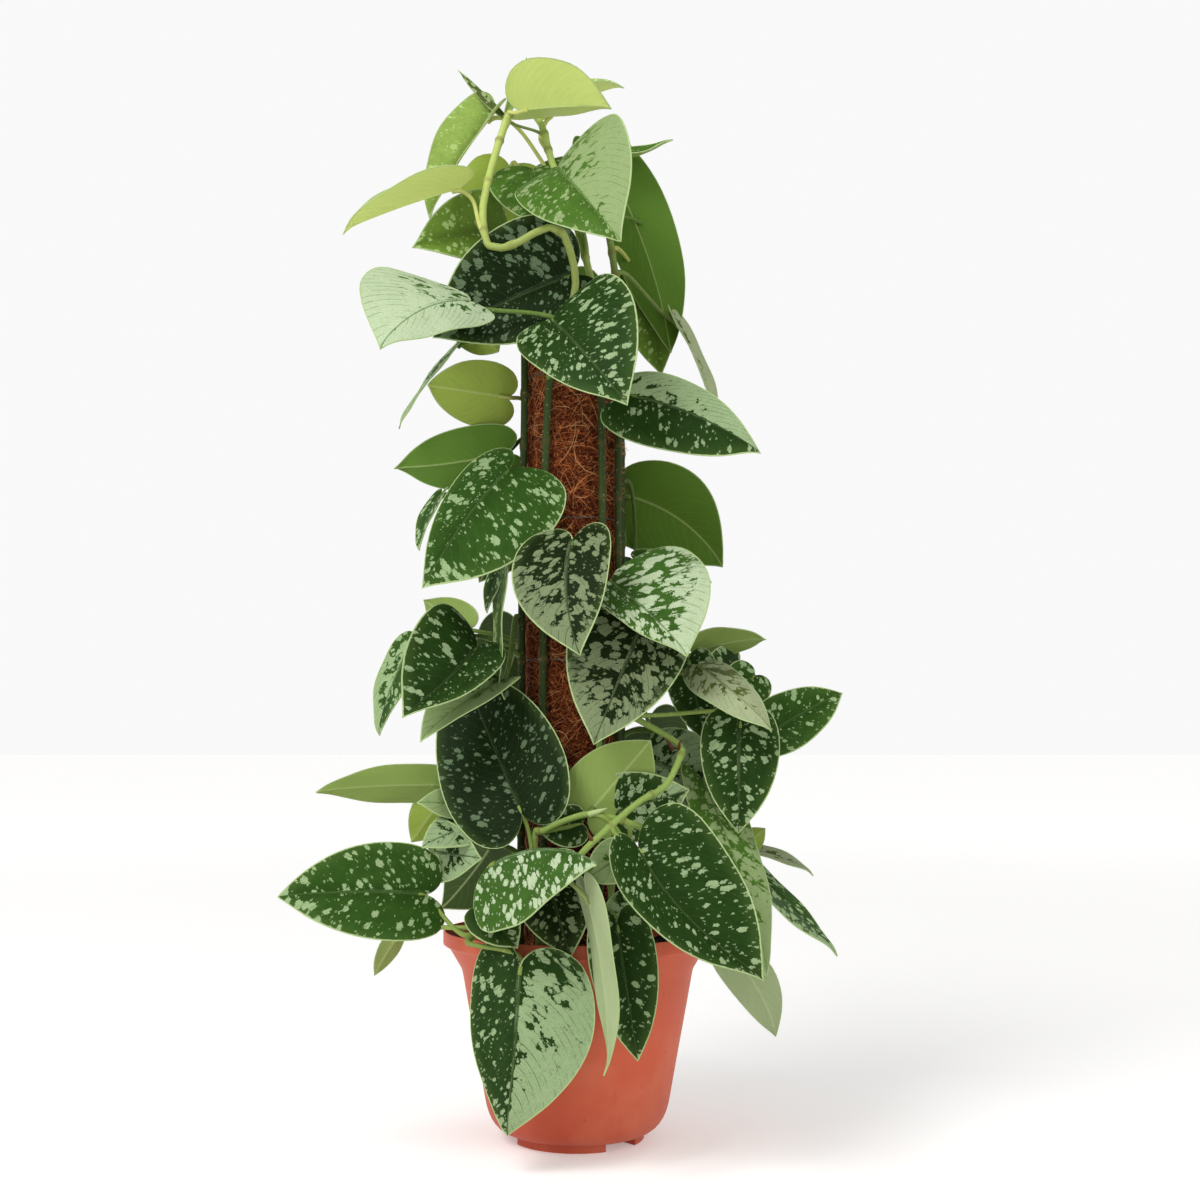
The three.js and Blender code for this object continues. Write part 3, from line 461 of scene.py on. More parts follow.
class Nodes:
    """Short ways to write a material's shader nodes."""

    def __init__(self, name: str) -> None:
        """Starts a new material.

        Args:
            name: Its name.
        """
        self.material = bpy.data.materials.new(name)
        self.material.use_nodes = True
        self.tree = self.material.node_tree
        self.shader = self.tree.nodes["Principled BSDF"]

    def add(self, kind: str, settings: dict | None = None, **inputs: object) -> bpy.types.Node:
        """A node with its settings, its sockets set or linked by name.

        Args:
            kind: The node's type without "ShaderNode".
            settings: Its own settings.
            **inputs: Values or output sockets, by socket name with _ for a space.

        Returns:
            The node.
        """
        node = self.tree.nodes.new("ShaderNode" + kind)
        for key, value in (settings or {}).items():
            setattr(node, key, value)
        for key, value in inputs.items():
            self.put(node, key.replace("_", " "), value)
        return node

    def put(self, node: bpy.types.Node, socket: str | int, value: object) -> None:
        """Links an output to a socket, or sets the socket to a value.

        Args:
            node: The node.
            socket: Its input's name or number.
            value: An output socket, a number, or a colour as hex digits.
        """
        target = node.inputs[socket]
        if isinstance(value, Socket):
            self.tree.links.new(value, target)
        else:
            target.default_value = linear(value) if isinstance(value, str) else value

    def fill(self, kind: str, settings: dict, *values: object) -> bpy.types.Node:
        """A node with its first sockets set or linked in their order.

        Args:
            kind: The node's type without "ShaderNode".
            settings: Its own settings.
            *values: What goes into its sockets.

        Returns:
            The node.
        """
        node = self.add(kind, settings)
        for i, value in enumerate(values):
            self.put(node, i, value)
        return node

    def math(self, operation: str, *values: object) -> Socket:
        """The result of a Math node on values or sockets."""
        return self.fill("Math", {"operation": operation}, *values).outputs[0]

    def plus(self, a: object, b: object) -> Socket:
        """a + b."""
        return self.math("ADD", a, b)

    def minus(self, a: object, b: object) -> Socket:
        """a - b."""
        return self.math("SUBTRACT", a, b)

    def times(self, a: object, b: object) -> Socket:
        """a * b."""
        return self.math("MULTIPLY", a, b)

    def over(self, a: object, b: object) -> Socket:
        """a / b."""
        return self.math("DIVIDE", a, b)

    def size_of(self, a: object) -> Socket:
        """a without its sign."""
        return self.math("ABSOLUTE", a)

    def mix(self, factor: object, a: object, b: object) -> Socket:
        """The colour between two.

        Args:
            factor: How far it lies from a to b, 0 to 1.
            a: A colour or a socket.
            b: Another.

        Returns:
            The colour.
        """
        node = self.add("Mix", {"data_type": "RGBA", "clamp_factor": True})
        for socket, value in ((0, factor), (6, a), (7, b)):
            self.put(node, socket, value)
        return node.outputs[2]

    def ramp(self, value: object, low: object, high: object) -> Socket:
        """A smooth step from 0 at low to 1 at high."""
        return self.fill("MapRange", {"interpolation_type": "SMOOTHSTEP"}, value, low, high).outputs[0]

    def noise(self, vector: object, scale: float, detail: float = 3.0, rough: float = 0.55) -> Socket:
        """The value of a noise texture at a vector."""
        return self.add("TexNoise", None, Vector=vector, Scale=scale, Detail=detail,
                        Roughness=rough).outputs["Fac"]

    def value(self, name: str) -> Socket:
        """A mesh attribute's value."""
        return self.add("Attribute", {"attribute_name": name}).outputs["Fac"]

    def colour(self, name: str) -> Socket:
        """A mesh attribute's colour."""
        return self.add("Attribute", {"attribute_name": name}).outputs["Color"]

    def flat_place(self, name: str) -> tuple[Socket, Socket]:
        """The two numbers of a UV map."""
        return self.parts(self.add("UVMap", {"uv_map": name}).outputs[0])[:2]

    def stripes(self, run: object, gap: float) -> Socket:
        """0 on each of a row of lines `gap` apart, and 0.5 between two of them."""
        return self.size_of(self.minus(self.math("FRACT", self.over(run, gap)), 0.5))

    def vector(self, x: object, y: object, z: object) -> Socket:
        """A vector from three values."""
        return self.fill("CombineXYZ", {}, x, y, z).outputs[0]

    def parts(self, vector: Socket) -> tuple[Socket, ...]:
        """The x, y and z of a vector."""
        return tuple(self.fill("SeparateXYZ", {}, vector).outputs)

    def here(self) -> Socket:
        """The place on the object."""
        return self.add("TexCoord").outputs["Object"]

    def bump(self, height: object, strength: float, distance: float) -> None:
        """Raises the surface by a height, in millimetres at `distance`."""
        node = self.add("Bump", None, Height=height, Strength=strength, Distance=distance * MM)
        self.put(self.shader, "Normal", node.outputs[0])

    def coat(self, colour: object, roughness: object, specular: float) -> bpy.types.Material:
        """Gives the surface its colour and sheen.

        Args:
            colour: The base colour.
            roughness: How matt it is, 0 to 1.
            specular: How strongly it mirrors, 0 to 1.

        Returns:
            The finished material.
        """
        self.put(self.shader, "Base Color", colour)
        self.put(self.shader, "Roughness", roughness)
        self.shader.inputs["Specular IOR Level"].default_value = specular
        return self.material


@dataclass(frozen=True)
class BladeFinish:
    """Satin blade: green ground, angular silver blotches along the veins and a thin pale margin."""

    margin: str = "a2b67e"
    blotch_across: float = 4.3  # millimetres between blotches, across the side veins
    blotch_along: float = 6.6
    small_blotch: float = 0.45  # size of the small ones as a share of the others
    jagged: float = 2.6  # millimetres that the blotches' edges wander
    streak_across: float = 3.2
    streak_along: float = 11.0
    vein_gap: float = 7.0
    hair_gap: float = 2.3
    margin_width: float = 0.35

    def blotches(self, n: Nodes, u: object, v: object, size: float, density: object) -> Socket:
        """Where one size of blotch lies.

        Args:
            n: The material's nodes.
            u: Millimetres across the side veins.
            v: Millimetres along them.
            size: Size of the blotches as a share of the full one.
            density: How much of the face they take, 0 to 1.

        Returns:
            1 in a blotch and 0 off it.
        """
        seed = n.times(n.value("seed"), 3.1)
        place = n.vector(n.plus(n.over(u, self.blotch_across * size), seed),
                         n.plus(n.over(v, self.blotch_along * size), seed), 0.0)
        cells = n.add("TexVoronoi", {"voronoi_dimensions": "2D"}, Vector=place, Scale=1.0,
                      Randomness=1.0)
        chance, _, _ = n.parts(cells.outputs["Color"])
        share = n.times(n.math("POWER", n.math("MAXIMUM", density, 0.0), 1.3), 1.15)
        room = n.times(n.minus(share, chance), 2.2)
        level = n.plus(room, n.times(n.minus(0.38, cells.outputs["Distance"]), 1.5))
        return n.ramp(level, -0.03, 0.1)

    def veil(self, n: Nodes, u: object, v: object, off: object, rim: object, silver: object) -> Socket:
        """The unbroken silver of a heavily silvered half, let through in streaks along the veins.

        Args:
            n: The material's nodes.
            u: Millimetres across the side veins.
            v: Millimetres along them.
            off: Millimetres from the midrib.
            rim: Millimetres from the margin.
            silver: How silvered the face is, 0 to 1.

        Returns:
            1 in the silver and 0 off it.
        """
        place = n.vector(n.over(u, self.streak_across), n.over(v, self.streak_along), n.value("seed"))
        streak = n.noise(place, 1.0, 4, 0.62)
        outward = n.over(off, n.plus(n.plus(off, rim), 0.5))
        lift = n.times(n.minus(outward, 0.5), 0.5)
        level = n.plus(n.plus(streak, lift), n.times(n.minus(silver, 0.75), 0.9))
        return n.times(n.ramp(level, 0.47, 0.54), n.ramp(silver, 0.5, 0.6))

    def upper(self) -> bpy.types.Material:
        """The upper face, with its silver, painted shade along the midrib and a painted sheen towards the
        margin.

        Returns:
            The material.
        """
        n = Nodes("leaf_face")
        u, v = n.flat_place("veins")
        rim, _ = n.flat_place("rim")
        here = n.here()
        tone = n.colour("tone")
        across, along = n.flat_place("marks")
        wander = n.add("TexNoise", None, Vector=here, Scale=820.0, Detail=2.0)
        jag, jog, _ = n.parts(wander.outputs["Color"])
        ju = n.plus(across, n.times(n.minus(jag, 0.5), self.jagged))
        jv = n.plus(along, n.times(n.minus(jog, 0.5), 1.4 * self.jagged))
        drift = n.minus(n.noise(here, 75, 2, 0.5), 0.5)
        silver = n.value("silver")
        density = n.plus(silver, n.times(drift, 0.75))
        density = n.times(density, n.ramp(silver, 0.0, 0.12))
        big = self.blotches(n, ju, jv, 1.0, density)
        small = self.blotches(n, ju, jv, self.small_blotch, n.times(density, 0.2))
        mask = n.math("MAXIMUM", big, n.times(small, 0.8))
        mask = n.math("MAXIMUM", mask, self.veil(n, ju, jv, n.size_of(v), rim, silver))
        vein = n.ramp(n.stripes(u, self.vein_gap), 0.075, 0.02)
        hair = n.ramp(n.stripes(u, self.hair_gap), 0.12, 0.04)
        midrib = n.ramp(n.size_of(v), 1.1, 0.3)
        ground = n.mix(n.times(n.noise(here, 120, 4, 0.6), 0.8), tone,
                       n.mix(0.7, tone, "0c1804"))
        # painted shade: the ground darkens towards the midrib, within about 14 mm of it
        midrib_shade = n.times(n.ramp(n.size_of(v), 14.0, 1.0), 0.5)
        ground = n.mix(midrib_shade, ground, n.mix(0.45, ground, "0b1406"))
        # painted sheen: the ground lightens towards the margin, within about 9 mm of it
        ground = n.mix(n.times(n.ramp(rim, 9.0, 0.0), 0.22), ground, n.mix(0.4, ground, "7f9c52"))
        ground = n.mix(n.times(vein, 0.03), ground, "8fa566")
        ground = n.mix(n.times(midrib, 0.1), ground, "86a05c")
        pale = n.colour("silver_tone")
        pale = n.mix(n.times(n.noise(here, 260, 4, 0.65), 0.5), pale, n.mix(0.6, pale, tone))
        broken = n.ramp(n.noise(here, 90, 2), 0.4, 0.6)
        pale = n.mix(n.times(n.times(vein, broken), 0.55), pale, tone)
        pale = n.mix(n.times(n.times(hair, broken), 0.2), pale, tone)
        pale = n.mix(n.times(midrib, 0.7), pale, tone)
        pale = n.mix(n.ramp(n.noise(here, 1150, 3, 0.7), 0.56, 0.66), pale, n.mix(0.5, pale, tone))
        face = n.mix(mask, ground, pale)
        ragged = n.plus(self.margin_width, n.times(n.noise(here, 300, 2), 0.8))
        face = n.mix(n.ramp(rim, n.plus(ragged, 0.2), n.minus(ragged, 0.25)), face, self.margin)
        grain = n.plus(n.times(vein, -0.5), n.times(n.noise(here, 1500, 3), 0.3))
        n.bump(n.plus(grain, n.times(mask, 0.1)), 0.5, 0.4)
        return n.coat(face, n.plus(0.44, n.times(mask, 0.14)), 0.03)

    def under(self) -> bpy.types.Material:
        """The underside, plain pale green with raised veins.

        Returns:
            The material.
        """
        n = Nodes("leaf_underside")
        u, v = n.flat_place("veins")
        rim, _ = n.flat_place("rim")
        here = n.here()
        tone = n.colour("under_tone")
        vein = n.ramp(n.stripes(u, self.vein_gap), 0.07, 0.0)
        midrib = n.ramp(n.size_of(v), 1.5, 0.5)
        mottle = n.noise(n.vector(n.over(u, 3.0), n.over(v, 9.0), n.value("seed")), 1.0, 3)
        body = n.mix(n.times(mottle, 0.4), tone, n.mix(0.4, tone, "3c5320"))
        body = n.mix(n.times(vein, 0.14), body, n.mix(0.5, body, "c2cf8e"))
        body = n.mix(n.times(midrib, 0.5), body, n.mix(0.5, body, "ccd698"))
        body = n.mix(n.times(n.ramp(rim, 1.0, 0.3), 0.7), body, self.margin)
        n.bump(n.plus(n.times(vein, 0.8), n.times(n.noise(here, 900, 3), 0.3)), 0.5, 0.4)
        return n.coat(body, 0.55, 0.12)


@dataclass(frozen=True)
class StemFinish:
    """Fleshy green stem, its colour from the "tone" attribute."""

    name: str = "stem_skin"

    def make(self) -> bpy.types.Material:
        """Makes the finish.

        Returns:
            The material.
        """
        n = Nodes(self.name)
        here = n.here()
        tone = n.colour("tone")
        body = n.mix(n.times(n.noise(here, 160, 4), 0.45), tone, n.mix(0.6, tone, "3b4a22"))
        body = n.mix(n.ramp(n.noise(here, 520, 3), 0.62, 0.7), body, n.mix(0.25, body, "d8d9a2"))
        n.bump(n.noise(here, 700, 4), 0.35, 0.5)
        return n.coat(body, 0.5, 0.15)


@dataclass(frozen=True)
class EarthFinish:
    """Matt mix of three browns, for the stake and the soil."""

    name: str
    dark: str
    middle: str
    light: str
    scale: float
    roughness: float
    bump_mm: float

    def make(self) -> bpy.types.Material:
        """Makes the finish.

        Returns:
            The material.
        """
        n = Nodes(self.name)
        here = n.here()
        wide = n.noise(here, self.scale, 4, 0.6)
        tight = n.noise(here, self.scale * 6, 4, 0.65)
        body = n.mix(n.ramp(wide, 0.35, 0.65), self.dark, self.middle)
        body = n.mix(n.ramp(tight, 0.5, 0.72), body, self.light)
        n.bump(tight, 0.7, self.bump_mm)
        return n.coat(body, self.roughness, 0.25)


@dataclass(frozen=True)
class MatFinish:
    """Tangled coir fibre: layers of fine curling lines over a dark brown bed, deepened to near black as
    painted shade in the gaps between the fibres.
    """

    name: str = "coir_mat"
    # partly painted shade: the mat's dark brown deepened to near black for the gaps between the fibres
    bed: str = "1e0a04"
    layers: tuple[tuple[str, float, float], ...] = (  # colour, scale and width of the lines
        ("4e2210", 300.0, 0.045), ("7a3a1c", 210.0, 0.035),
        ("9a5128", 160.0, 0.024), ("b9743c", 115.0, 0.012))

    def make(self) -> bpy.types.Material:
        """Makes the finish.

        Returns:
            The material.
        """
        n = Nodes(self.name)
        here = n.here()
        x, y, z = n.parts(here)
        # the bed: dark brown, deepened to near black as painted shade in the gaps
        body = n.mix(n.noise(here, 240, 4, 0.6), self.bed, "4a1f0e")
        height: object = 0.0
        for i, (colour, scale, width) in enumerate(self.layers):
            place = n.vector(n.plus(x, 0.37 * i), n.plus(y, 0.61 * i), n.times(z, 1.25))
            wave = n.noise(place, scale, 2, 0.5)
            line = n.ramp(n.size_of(n.minus(wave, 0.5)), width, 0.3 * width)
            body = n.mix(line, body, colour)
            height = n.math("MAXIMUM", height, n.times(line, 0.4 + 0.2 * i))
        n.bump(height, 0.8, 0.7)
        return n.coat(body, 0.95, 0.1)


@dataclass(frozen=True)
class FibreFinish:
    """Coconut fibre: each strand has its own brown, from the "tone" attribute."""

    name: str = "coir_fibre"

    def make(self) -> bpy.types.Material:
        """Makes the finish.

        Returns:
            The material.
        """
        n = Nodes(self.name)
        tone = n.colour("tone")
        patch = n.times(n.noise(n.here(), 400, 3), 0.5)
        return n.coat(n.mix(patch, tone, n.mix(0.6, tone, "1d0f0a")), 0.7, 0.15)


@dataclass(frozen=True)
class PlasticFinish:
    """Terracotta-coloured moulded plastic with a little dust, a few specks of soil and painted shade
    towards the foot.
    """

    name: str = "pot_plastic"
    body: str = "c4573a"
    # painted shade: the darker red towards the foot
    low: str = "ab452c"
    dusty: str = "cf7c5e"

    def make(self) -> bpy.types.Material:
        """Makes the finish.

        Returns:
            The material.
        """
        n = Nodes(self.name)
        here = n.here()
        _, _, z = n.parts(here)
        drift = n.noise(here, 14, 4, 0.6)
        # painted shade: the red darkens towards the foot, below about 75 mm
        body = n.mix(n.ramp(z, 0.075, 0.0), self.body, self.low)
        body = n.mix(n.times(n.ramp(drift, 0.42, 0.75), 0.4), body, self.dusty)
        drawn_out = n.add("Mapping", None, Vector=here, Scale=(90.0, 90.0, 9.0)).outputs[0]
        streak = n.noise(drawn_out, 1.0, 4, 0.6)
        body = n.mix(n.times(n.ramp(streak, 0.55, 0.8), 0.22), body, "8f3b28")
        speck = n.ramp(n.noise(here, 330, 2, 0.5), 0.735, 0.76)
        body = n.mix(n.times(speck, 0.75), body, "4a2216")
        n.bump(n.plus(n.times(streak, 0.5), n.noise(here, 900, 3)), 0.12, 0.3)
        return n.coat(body, n.plus(0.4, n.times(drift, 0.25)), 0.25)


@dataclass(frozen=True)
class WireFinish:
    """Dull binding wire."""

    name: str = "binding_wire"

    def make(self) -> bpy.types.Material:
        """Makes the finish.

        Returns:
            The material.
        """
        n = Nodes(self.name)
        rust = n.ramp(n.noise(n.here(), 240, 4, 0.6), 0.5, 0.7)
        n.shader.inputs["Metallic"].default_value = 0.7
        n.bump(rust, 0.3, 0.1)
        return n.coat(n.mix(rust, "5c5b58", "5b3a26"), 0.5, 0.5)


def alone(obj: Thing) -> Thing:
    """Selects one object and nothing else, and hands it back.

    Args:
        obj: The object.

    Returns:
        The same object.
    """
    bpy.ops.object.select_all(action="DESELECT")
    obj.select_set(True)
    bpy.context.view_layer.objects.active = obj
    return obj


def added(operator: Callable[..., object], name: str, place: Point = (0, 0, 0), **how: object) -> Thing:
    """A new primitive, its origin left at the frame's.

    Args:
        operator: What adds it.
        name: Its name.
        place: Where its middle goes, in millimetres.
        **how: The operator's other settings.

    Returns:
        The object.
    """
    bpy.ops.object.select_all(action="DESELECT")
    operator(location=[c * MM for c in place], **how)
    bpy.ops.object.transform_apply(location=True, rotation=False, scale=False)
    bpy.context.view_layer.objects.active.name = name
    return bpy.context.view_layer.objects.active


@contextmanager
def editing(everything: bool = False) -> Iterator[None]:
    """Edit mode on the active object, and out of it again.

    Args:
        everything: Whether all of the mesh is selected first.

    Yields:
        Nothing.
    """
    bpy.ops.object.mode_set(mode="EDIT")
    if everything:
        bpy.ops.mesh.select_all(action="SELECT")
    yield
    bpy.ops.object.mode_set(mode="OBJECT")


def pick(mode: str, elements: object, wanted: Callable[[object], bool]) -> None:
    """Selects some edges or faces of the active object's mesh, and nothing else.

    Args:
        mode: "EDGE" or "FACE".
        elements: The mesh's edges or faces.
        wanted: Says whether one is to be selected.
    """
    with editing():
        bpy.ops.mesh.select_mode(type=mode)
        bpy.ops.mesh.select_all(action="DESELECT")
    for element in elements:
        element.select = wanted(element)


def looks_up(face: bpy.types.MeshPolygon) -> bool:
    """Whether a face looks up."""
    return face.normal.z > 0.9


def grow(rings: list[tuple[float, float]]) -> None:
    """Draws what is selected out, ring by ring.

    Args:
        rings: Radius and height of each; the selection lies on the first.
    """
    for (r0, z0), (r1, z1) in zip(rings, rings[1:]):
        bpy.ops.mesh.extrude_region_move(TRANSFORM_OT_translate={"value": (0, 0, (z1 - z0) * MM)})
        bpy.ops.transform.resize(value=(r1 / r0, r1 / r0, 1), center_override=(0, 0, z1 * MM))


def joined(objects: list[Thing], name: str) -> Thing:
    """Joins objects into the first of them.

    Args:
        objects: The objects.
        name: The joined object's name.

    Returns:
        The joined object.
    """
    made = alone(objects[0])
    for obj in objects:
        obj.select_set(True)
    if len(objects) > 1:
        bpy.ops.object.join()
    made.name = name
    return made


def modified(obj: Thing, kind: str, **settings: object) -> None:
    """Puts a modifier on an object and applies it.

    Args:
        obj: The object.
        kind: The modifier's type.
        **settings: Its settings.
    """
    modifier = alone(obj).modifiers.new(kind, kind)
    for key, value in settings.items():
        setattr(modifier, key, value)
    bpy.ops.object.modifier_apply(modifier=modifier.name)


def smooth(obj: Thing, degrees: float) -> None:
    """Shades an object smooth, except across edges sharper than an angle."""
    alone(obj)
    bpy.ops.object.shade_smooth_by_angle(angle=math.radians(degrees))


def dress(obj: Thing, *materials: bpy.types.Material) -> None:
    """Gives an object its materials, in place of any that it has.

    Args:
        obj: The object.
        *materials: The materials.
    """
    obj.data.materials.clear()
    for material in materials:
        obj.data.materials.append(material)


def settle(obj: Thing, slot: str, *nodes: str) -> None:
    """Puts a finished piece on the body, in place of its nodes.

    Args:
        obj: The piece.
        slot: The record's material slot; not used.
        *nodes: The frame's nodes that it stands for.
    """
    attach(obj, "root")
    if nodes:
        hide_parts(*nodes)
    log.info("%s: %d faces", obj.name, len(obj.data.polygons))


def paint(mesh: bpy.types.Mesh, name: str, values: np.ndarray) -> None:
    """Writes a value or a colour on each point of a mesh.

    Args:
        mesh: The mesh.
        name: The attribute's name.
        values: One number, or one RGBA row, for each point.
    """
    kind, key = ("FLOAT", "value") if values.ndim == 1 else ("FLOAT_COLOR", "color")
    mesh.attributes.new(name, kind, "POINT").data.foreach_set(key, values.astype(np.float32).ravel())


@dataclass
class Bundle:
    """Round bars that become one mesh."""

    lines: list[np.ndarray] = field(default_factory=list)  # each bar's points, in millimetres
    radii: list[np.ndarray] = field(default_factory=list)  # its radius at each point
    tones: list[np.ndarray] = field(default_factory=list)  # its RGBA at each point

    def add(self, line: np.ndarray, radii: np.ndarray, tone: np.ndarray) -> None:
        """Adds a bar.

        Args:
            line: Its points, one a row.
            radii: Its radius at each point.
            tone: Its RGBA, for the whole bar or for each point.
        """
        self.lines.append(line)
        self.radii.append(radii)
        self.tones.append(np.broadcast_to(tone, (len(line), 4)))

    def mesh(self, name: str, roundness: int) -> Thing:
        """Turns the bars into a mesh with closed ends and the "tone" attribute.

        Args:
            name: The object's name.
            roundness: Bevel resolution; a bar has 4 sides more than twice this.

        Returns:
            The mesh object.
        """
        curve = bpy.data.curves.new(name, "CURVE")
        curve.dimensions = "3D"
        curve.bevel_depth = MM
        curve.bevel_resolution = roundness
        for line, radii in zip(self.lines, self.radii):
            spline = curve.splines.new("POLY")
            spline.points.add(len(line) - 1)
            spline.points.foreach_set("co", np.column_stack([line * MM, np.ones(len(line))]).ravel())
            spline.points.foreach_set("radius", radii)
        obj = bpy.data.objects.new(name, curve)
        bpy.context.collection.objects.link(obj)
        alone(obj)
        bpy.ops.object.convert(target="MESH")
        made = bpy.context.view_layer.objects.active
        ring = len(made.data.vertices) // sum(len(line) for line in self.lines)
        paint(made.data, "tone", np.repeat(np.vstack(self.tones), ring, axis=0))
        with editing(everything=True):
            bpy.ops.mesh.fill_holes(sides=0)
        smooth(made, 55)
        return made


@dataclass
class Foliage:
    """All vines: blades, stalks and stems."""

    blade_mm: float = 0.7
    large_from: float = 80.0  # longer blades get the finer grid
    large_grid: tuple[int, int] = (38, 10)  # cells round the margin, and out from the midrib
    small_grid: tuple[int, int] = (26, 7)
    marks_slant: float = 52.0  # degrees between the midrib and the run of the blotches
    half_apart: float = 400.0  # keeps the blotches of the two halves from mirroring
    joint_gap: float = 38.0  # widest space between a stem's joints
    young_from: float = 540.0  # a climbing stem turns pale from here up
    young_over: float = 110.0
    young_stalk: str = "c9c873"
    joint_colour: str = "6b4a26"
    finish: BladeFinish = BladeFinish()
    stem_finish: StemFinish = StemFinish()

    def __post_init__(self) -> None:
        """Makes the materials that all vines share."""
        self.face, self.underside = self.finish.upper(), self.finish.under()
        self.skin = self.stem_finish.make()

    def stem_line(self, vine: Vine) -> np.ndarray:
        """The stem's even points from foot to tip, in millimetres."""
        points = [np.array(p, float) for p in vine.points] + [seen(*p) for p in vine.seen_points]
        return evenly(through(np.array(points), 12), 60)

    def blade(self, shape: Blade) -> Thing:
        """One blade as a sheet, from a flat grid that is bent to its form.

        Args:
            shape: The blade's form.

        Returns:
            The sheet.
        """
        around, out = self.large_grid if shape.length > self.large_from else self.small_grid
        obj = added(bpy.ops.mesh.primitive_grid_add, "blade", x_subdivisions=around,
                    y_subdivisions=2 * out, size=2)
        mesh = obj.data
        grid = np.empty(len(mesh.vertices) * 3)
        mesh.vertices.foreach_get("co", grid)
        grid = grid.reshape(-1, 3)
        s = (grid[:, 0] + 1) / 2
        s = s - 0.06 * np.sin(2 * math.pi * s)
        side = np.sign(np.round(grid[:, 1], 5))
        t = np.abs(grid[:, 1])
        t = 0.55 * t + 0.45 * (t * t * (3 - 2 * t))
        x, y = shape.flat(s, t)
        y = y * side
        mesh.vertices.foreach_set("co", (shape.place(x, y, shape.relief(x, y, s, t)) * MM).ravel())
        self.lay_maps(mesh, shape, (s, t, side, x, y))
        self.mark(mesh, shape, t, x, y)
        return obj

    def lay_maps(self, mesh: bpy.types.Mesh, shape: Blade, grid: tuple[np.ndarray, ...]) -> None:
        """Lays the maps that a blade's finish is drawn in, all in millimetres.

        Args:
            mesh: The blade's sheet.
            shape: The blade's form.
            grid: Share round the margin, share out from the midrib, side of the midrib (-1 or 1)
                and place on the flat blade, each for every point.
        """
        s, t, side, x, y = grid
        corner = np.empty(len(mesh.loops), dtype=np.int32)
        mesh.loops.foreach_get("vertex_index", corner)
        edge_x, edge_y = shape.flat(s, np.ones_like(s))
        rib_x, _ = shape.flat(s, np.zeros_like(s))
        reach = np.hypot(edge_x - rib_x, edge_y)
        round_margin = (s - 0.14 * t * t * 4 * s * (1 - s)) * shape.margin_length
        slant = math.radians(self.marks_slant)
        off = np.abs(y)
        maps = {
            "veins": (round_margin, side * t * reach),
            "rim": ((1 - t) * reach, x),
            "marks": (off * math.cos(slant) - x * math.sin(slant) + self.half_apart * (side < 0),
                      x * math.cos(slant) + off * math.sin(slant)),
        }
        while mesh.uv_layers:
            mesh.uv_layers.remove(mesh.uv_layers[0])
        for name, pair in maps.items():
            flat = np.column_stack([values[corner] for values in pair])
            mesh.uv_layers.new(name=name).data.foreach_set("uv", flat.astype(np.float32).ravel())

    def mark(self, mesh: bpy.types.Mesh, shape: Blade, t: np.ndarray, x: np.ndarray,
             y: np.ndarray) -> None:
        """Paints how silvered each point is, and the blade's colours.

        Args:
            mesh: The blade's sheet.
            shape: The blade's form.
            t: Shares out from the midrib.
            x: Distances along the midrib.
            y: Distances off it.
        """
        left, right = shape.leaf.silver
        silver = left + (right - left) * np.clip(y / 3 + 0.5, 0, 1)
        full = np.clip((silver - 0.45) / 0.15, 0, 1)
        sparse = silver * (0.32 + 0.42 * np.exp(-((t - 0.65) / 0.3) ** 2))
        silver = sparse + (silver + 0.4 * (x / shape.length - 0.45) - sparse) * full
        tip = np.clip((x / shape.length - 0.76) / 0.24, 0, 1)
        paint(mesh, "silver", np.clip(silver + 0.28 * tip * (silver > 0.05), 0, 1))
        paint(mesh, "seed", np.full(len(t), 3.7 * shape.seed))
        for name, colour in zip(("tone", "under_tone", "silver_tone"), shape.leaf.tone.value):
            paint(mesh, name, np.tile(linear(colour), (len(t), 1)))

    def leaves(self, vine: Vine, first_seed: int) -> Thing:
        """All the blades of a vine as one piece of its real thickness.

        Args:
            vine: The vine.
            first_seed: Seed of its first leaf.

        Returns:
            The piece.
        """
        sheets = [self.blade(Blade(leaf, first_seed + i)) for i, leaf in enumerate(vine.leaves)]
        obj = joined(sheets, vine.name + "_leaves")
        with editing(everything=True):
            bpy.ops.mesh.remove_doubles(threshold=0.02 * MM)
            bpy.ops.mesh.dissolve_degenerate(threshold=0.005 * MM)
        dress(obj, self.face, self.underside)
        modified(obj, "SOLIDIFY", thickness=self.blade_mm * MM, offset=0, material_offset=1)
        smooth(obj, 60)
        return obj

    def add_stem(self, bars: Bundle, vine: Vine, line: np.ndarray) -> None:
        """Adds the stem with its swollen joints, one where each leaf leaves it and some between.

        Args:
            bars: What it is added to.
            vine: The vine.
            line: The stem's points.
        """
        fine = evenly(line, 240)
        share = np.linspace(0, 1, len(fine))
        length = float(np.sum(np.linalg.norm(np.diff(fine, axis=0), axis=1)))
        leafy = sorted({round(leaf.place, 2) for leaf in vine.leaves})
        step = self.joint_gap / length
        bare = [m for m in np.arange(step, 1, step) if all(abs(m - j) > 0.4 * step for j in leafy)]
        radius, foot_colour, _ = vine.habit.value
        radii = np.full(len(fine), radius)
        ring = np.zeros(len(fine))
        for joint in bare + leafy:
            radii += 0.8 * np.exp(-(((share - joint) * length / 2.2) ** 2))
            ring = np.maximum(ring, np.exp(-(((share - joint) * length / 1.1) ** 2)))
        young = share
        if vine.habit is CLIMBER:
            young = np.clip((fine[:, 2] - self.young_from) / self.young_over, 0, 1)
        low, high = np.array(linear(foot_colour)), np.array(linear(vine.tip_colour))
        tone = low + (high - low) * young[:, None]
        bars.add(fine, radii, tone + (np.array(linear(self.joint_colour)) - tone) * (0.6 * ring[:, None]))

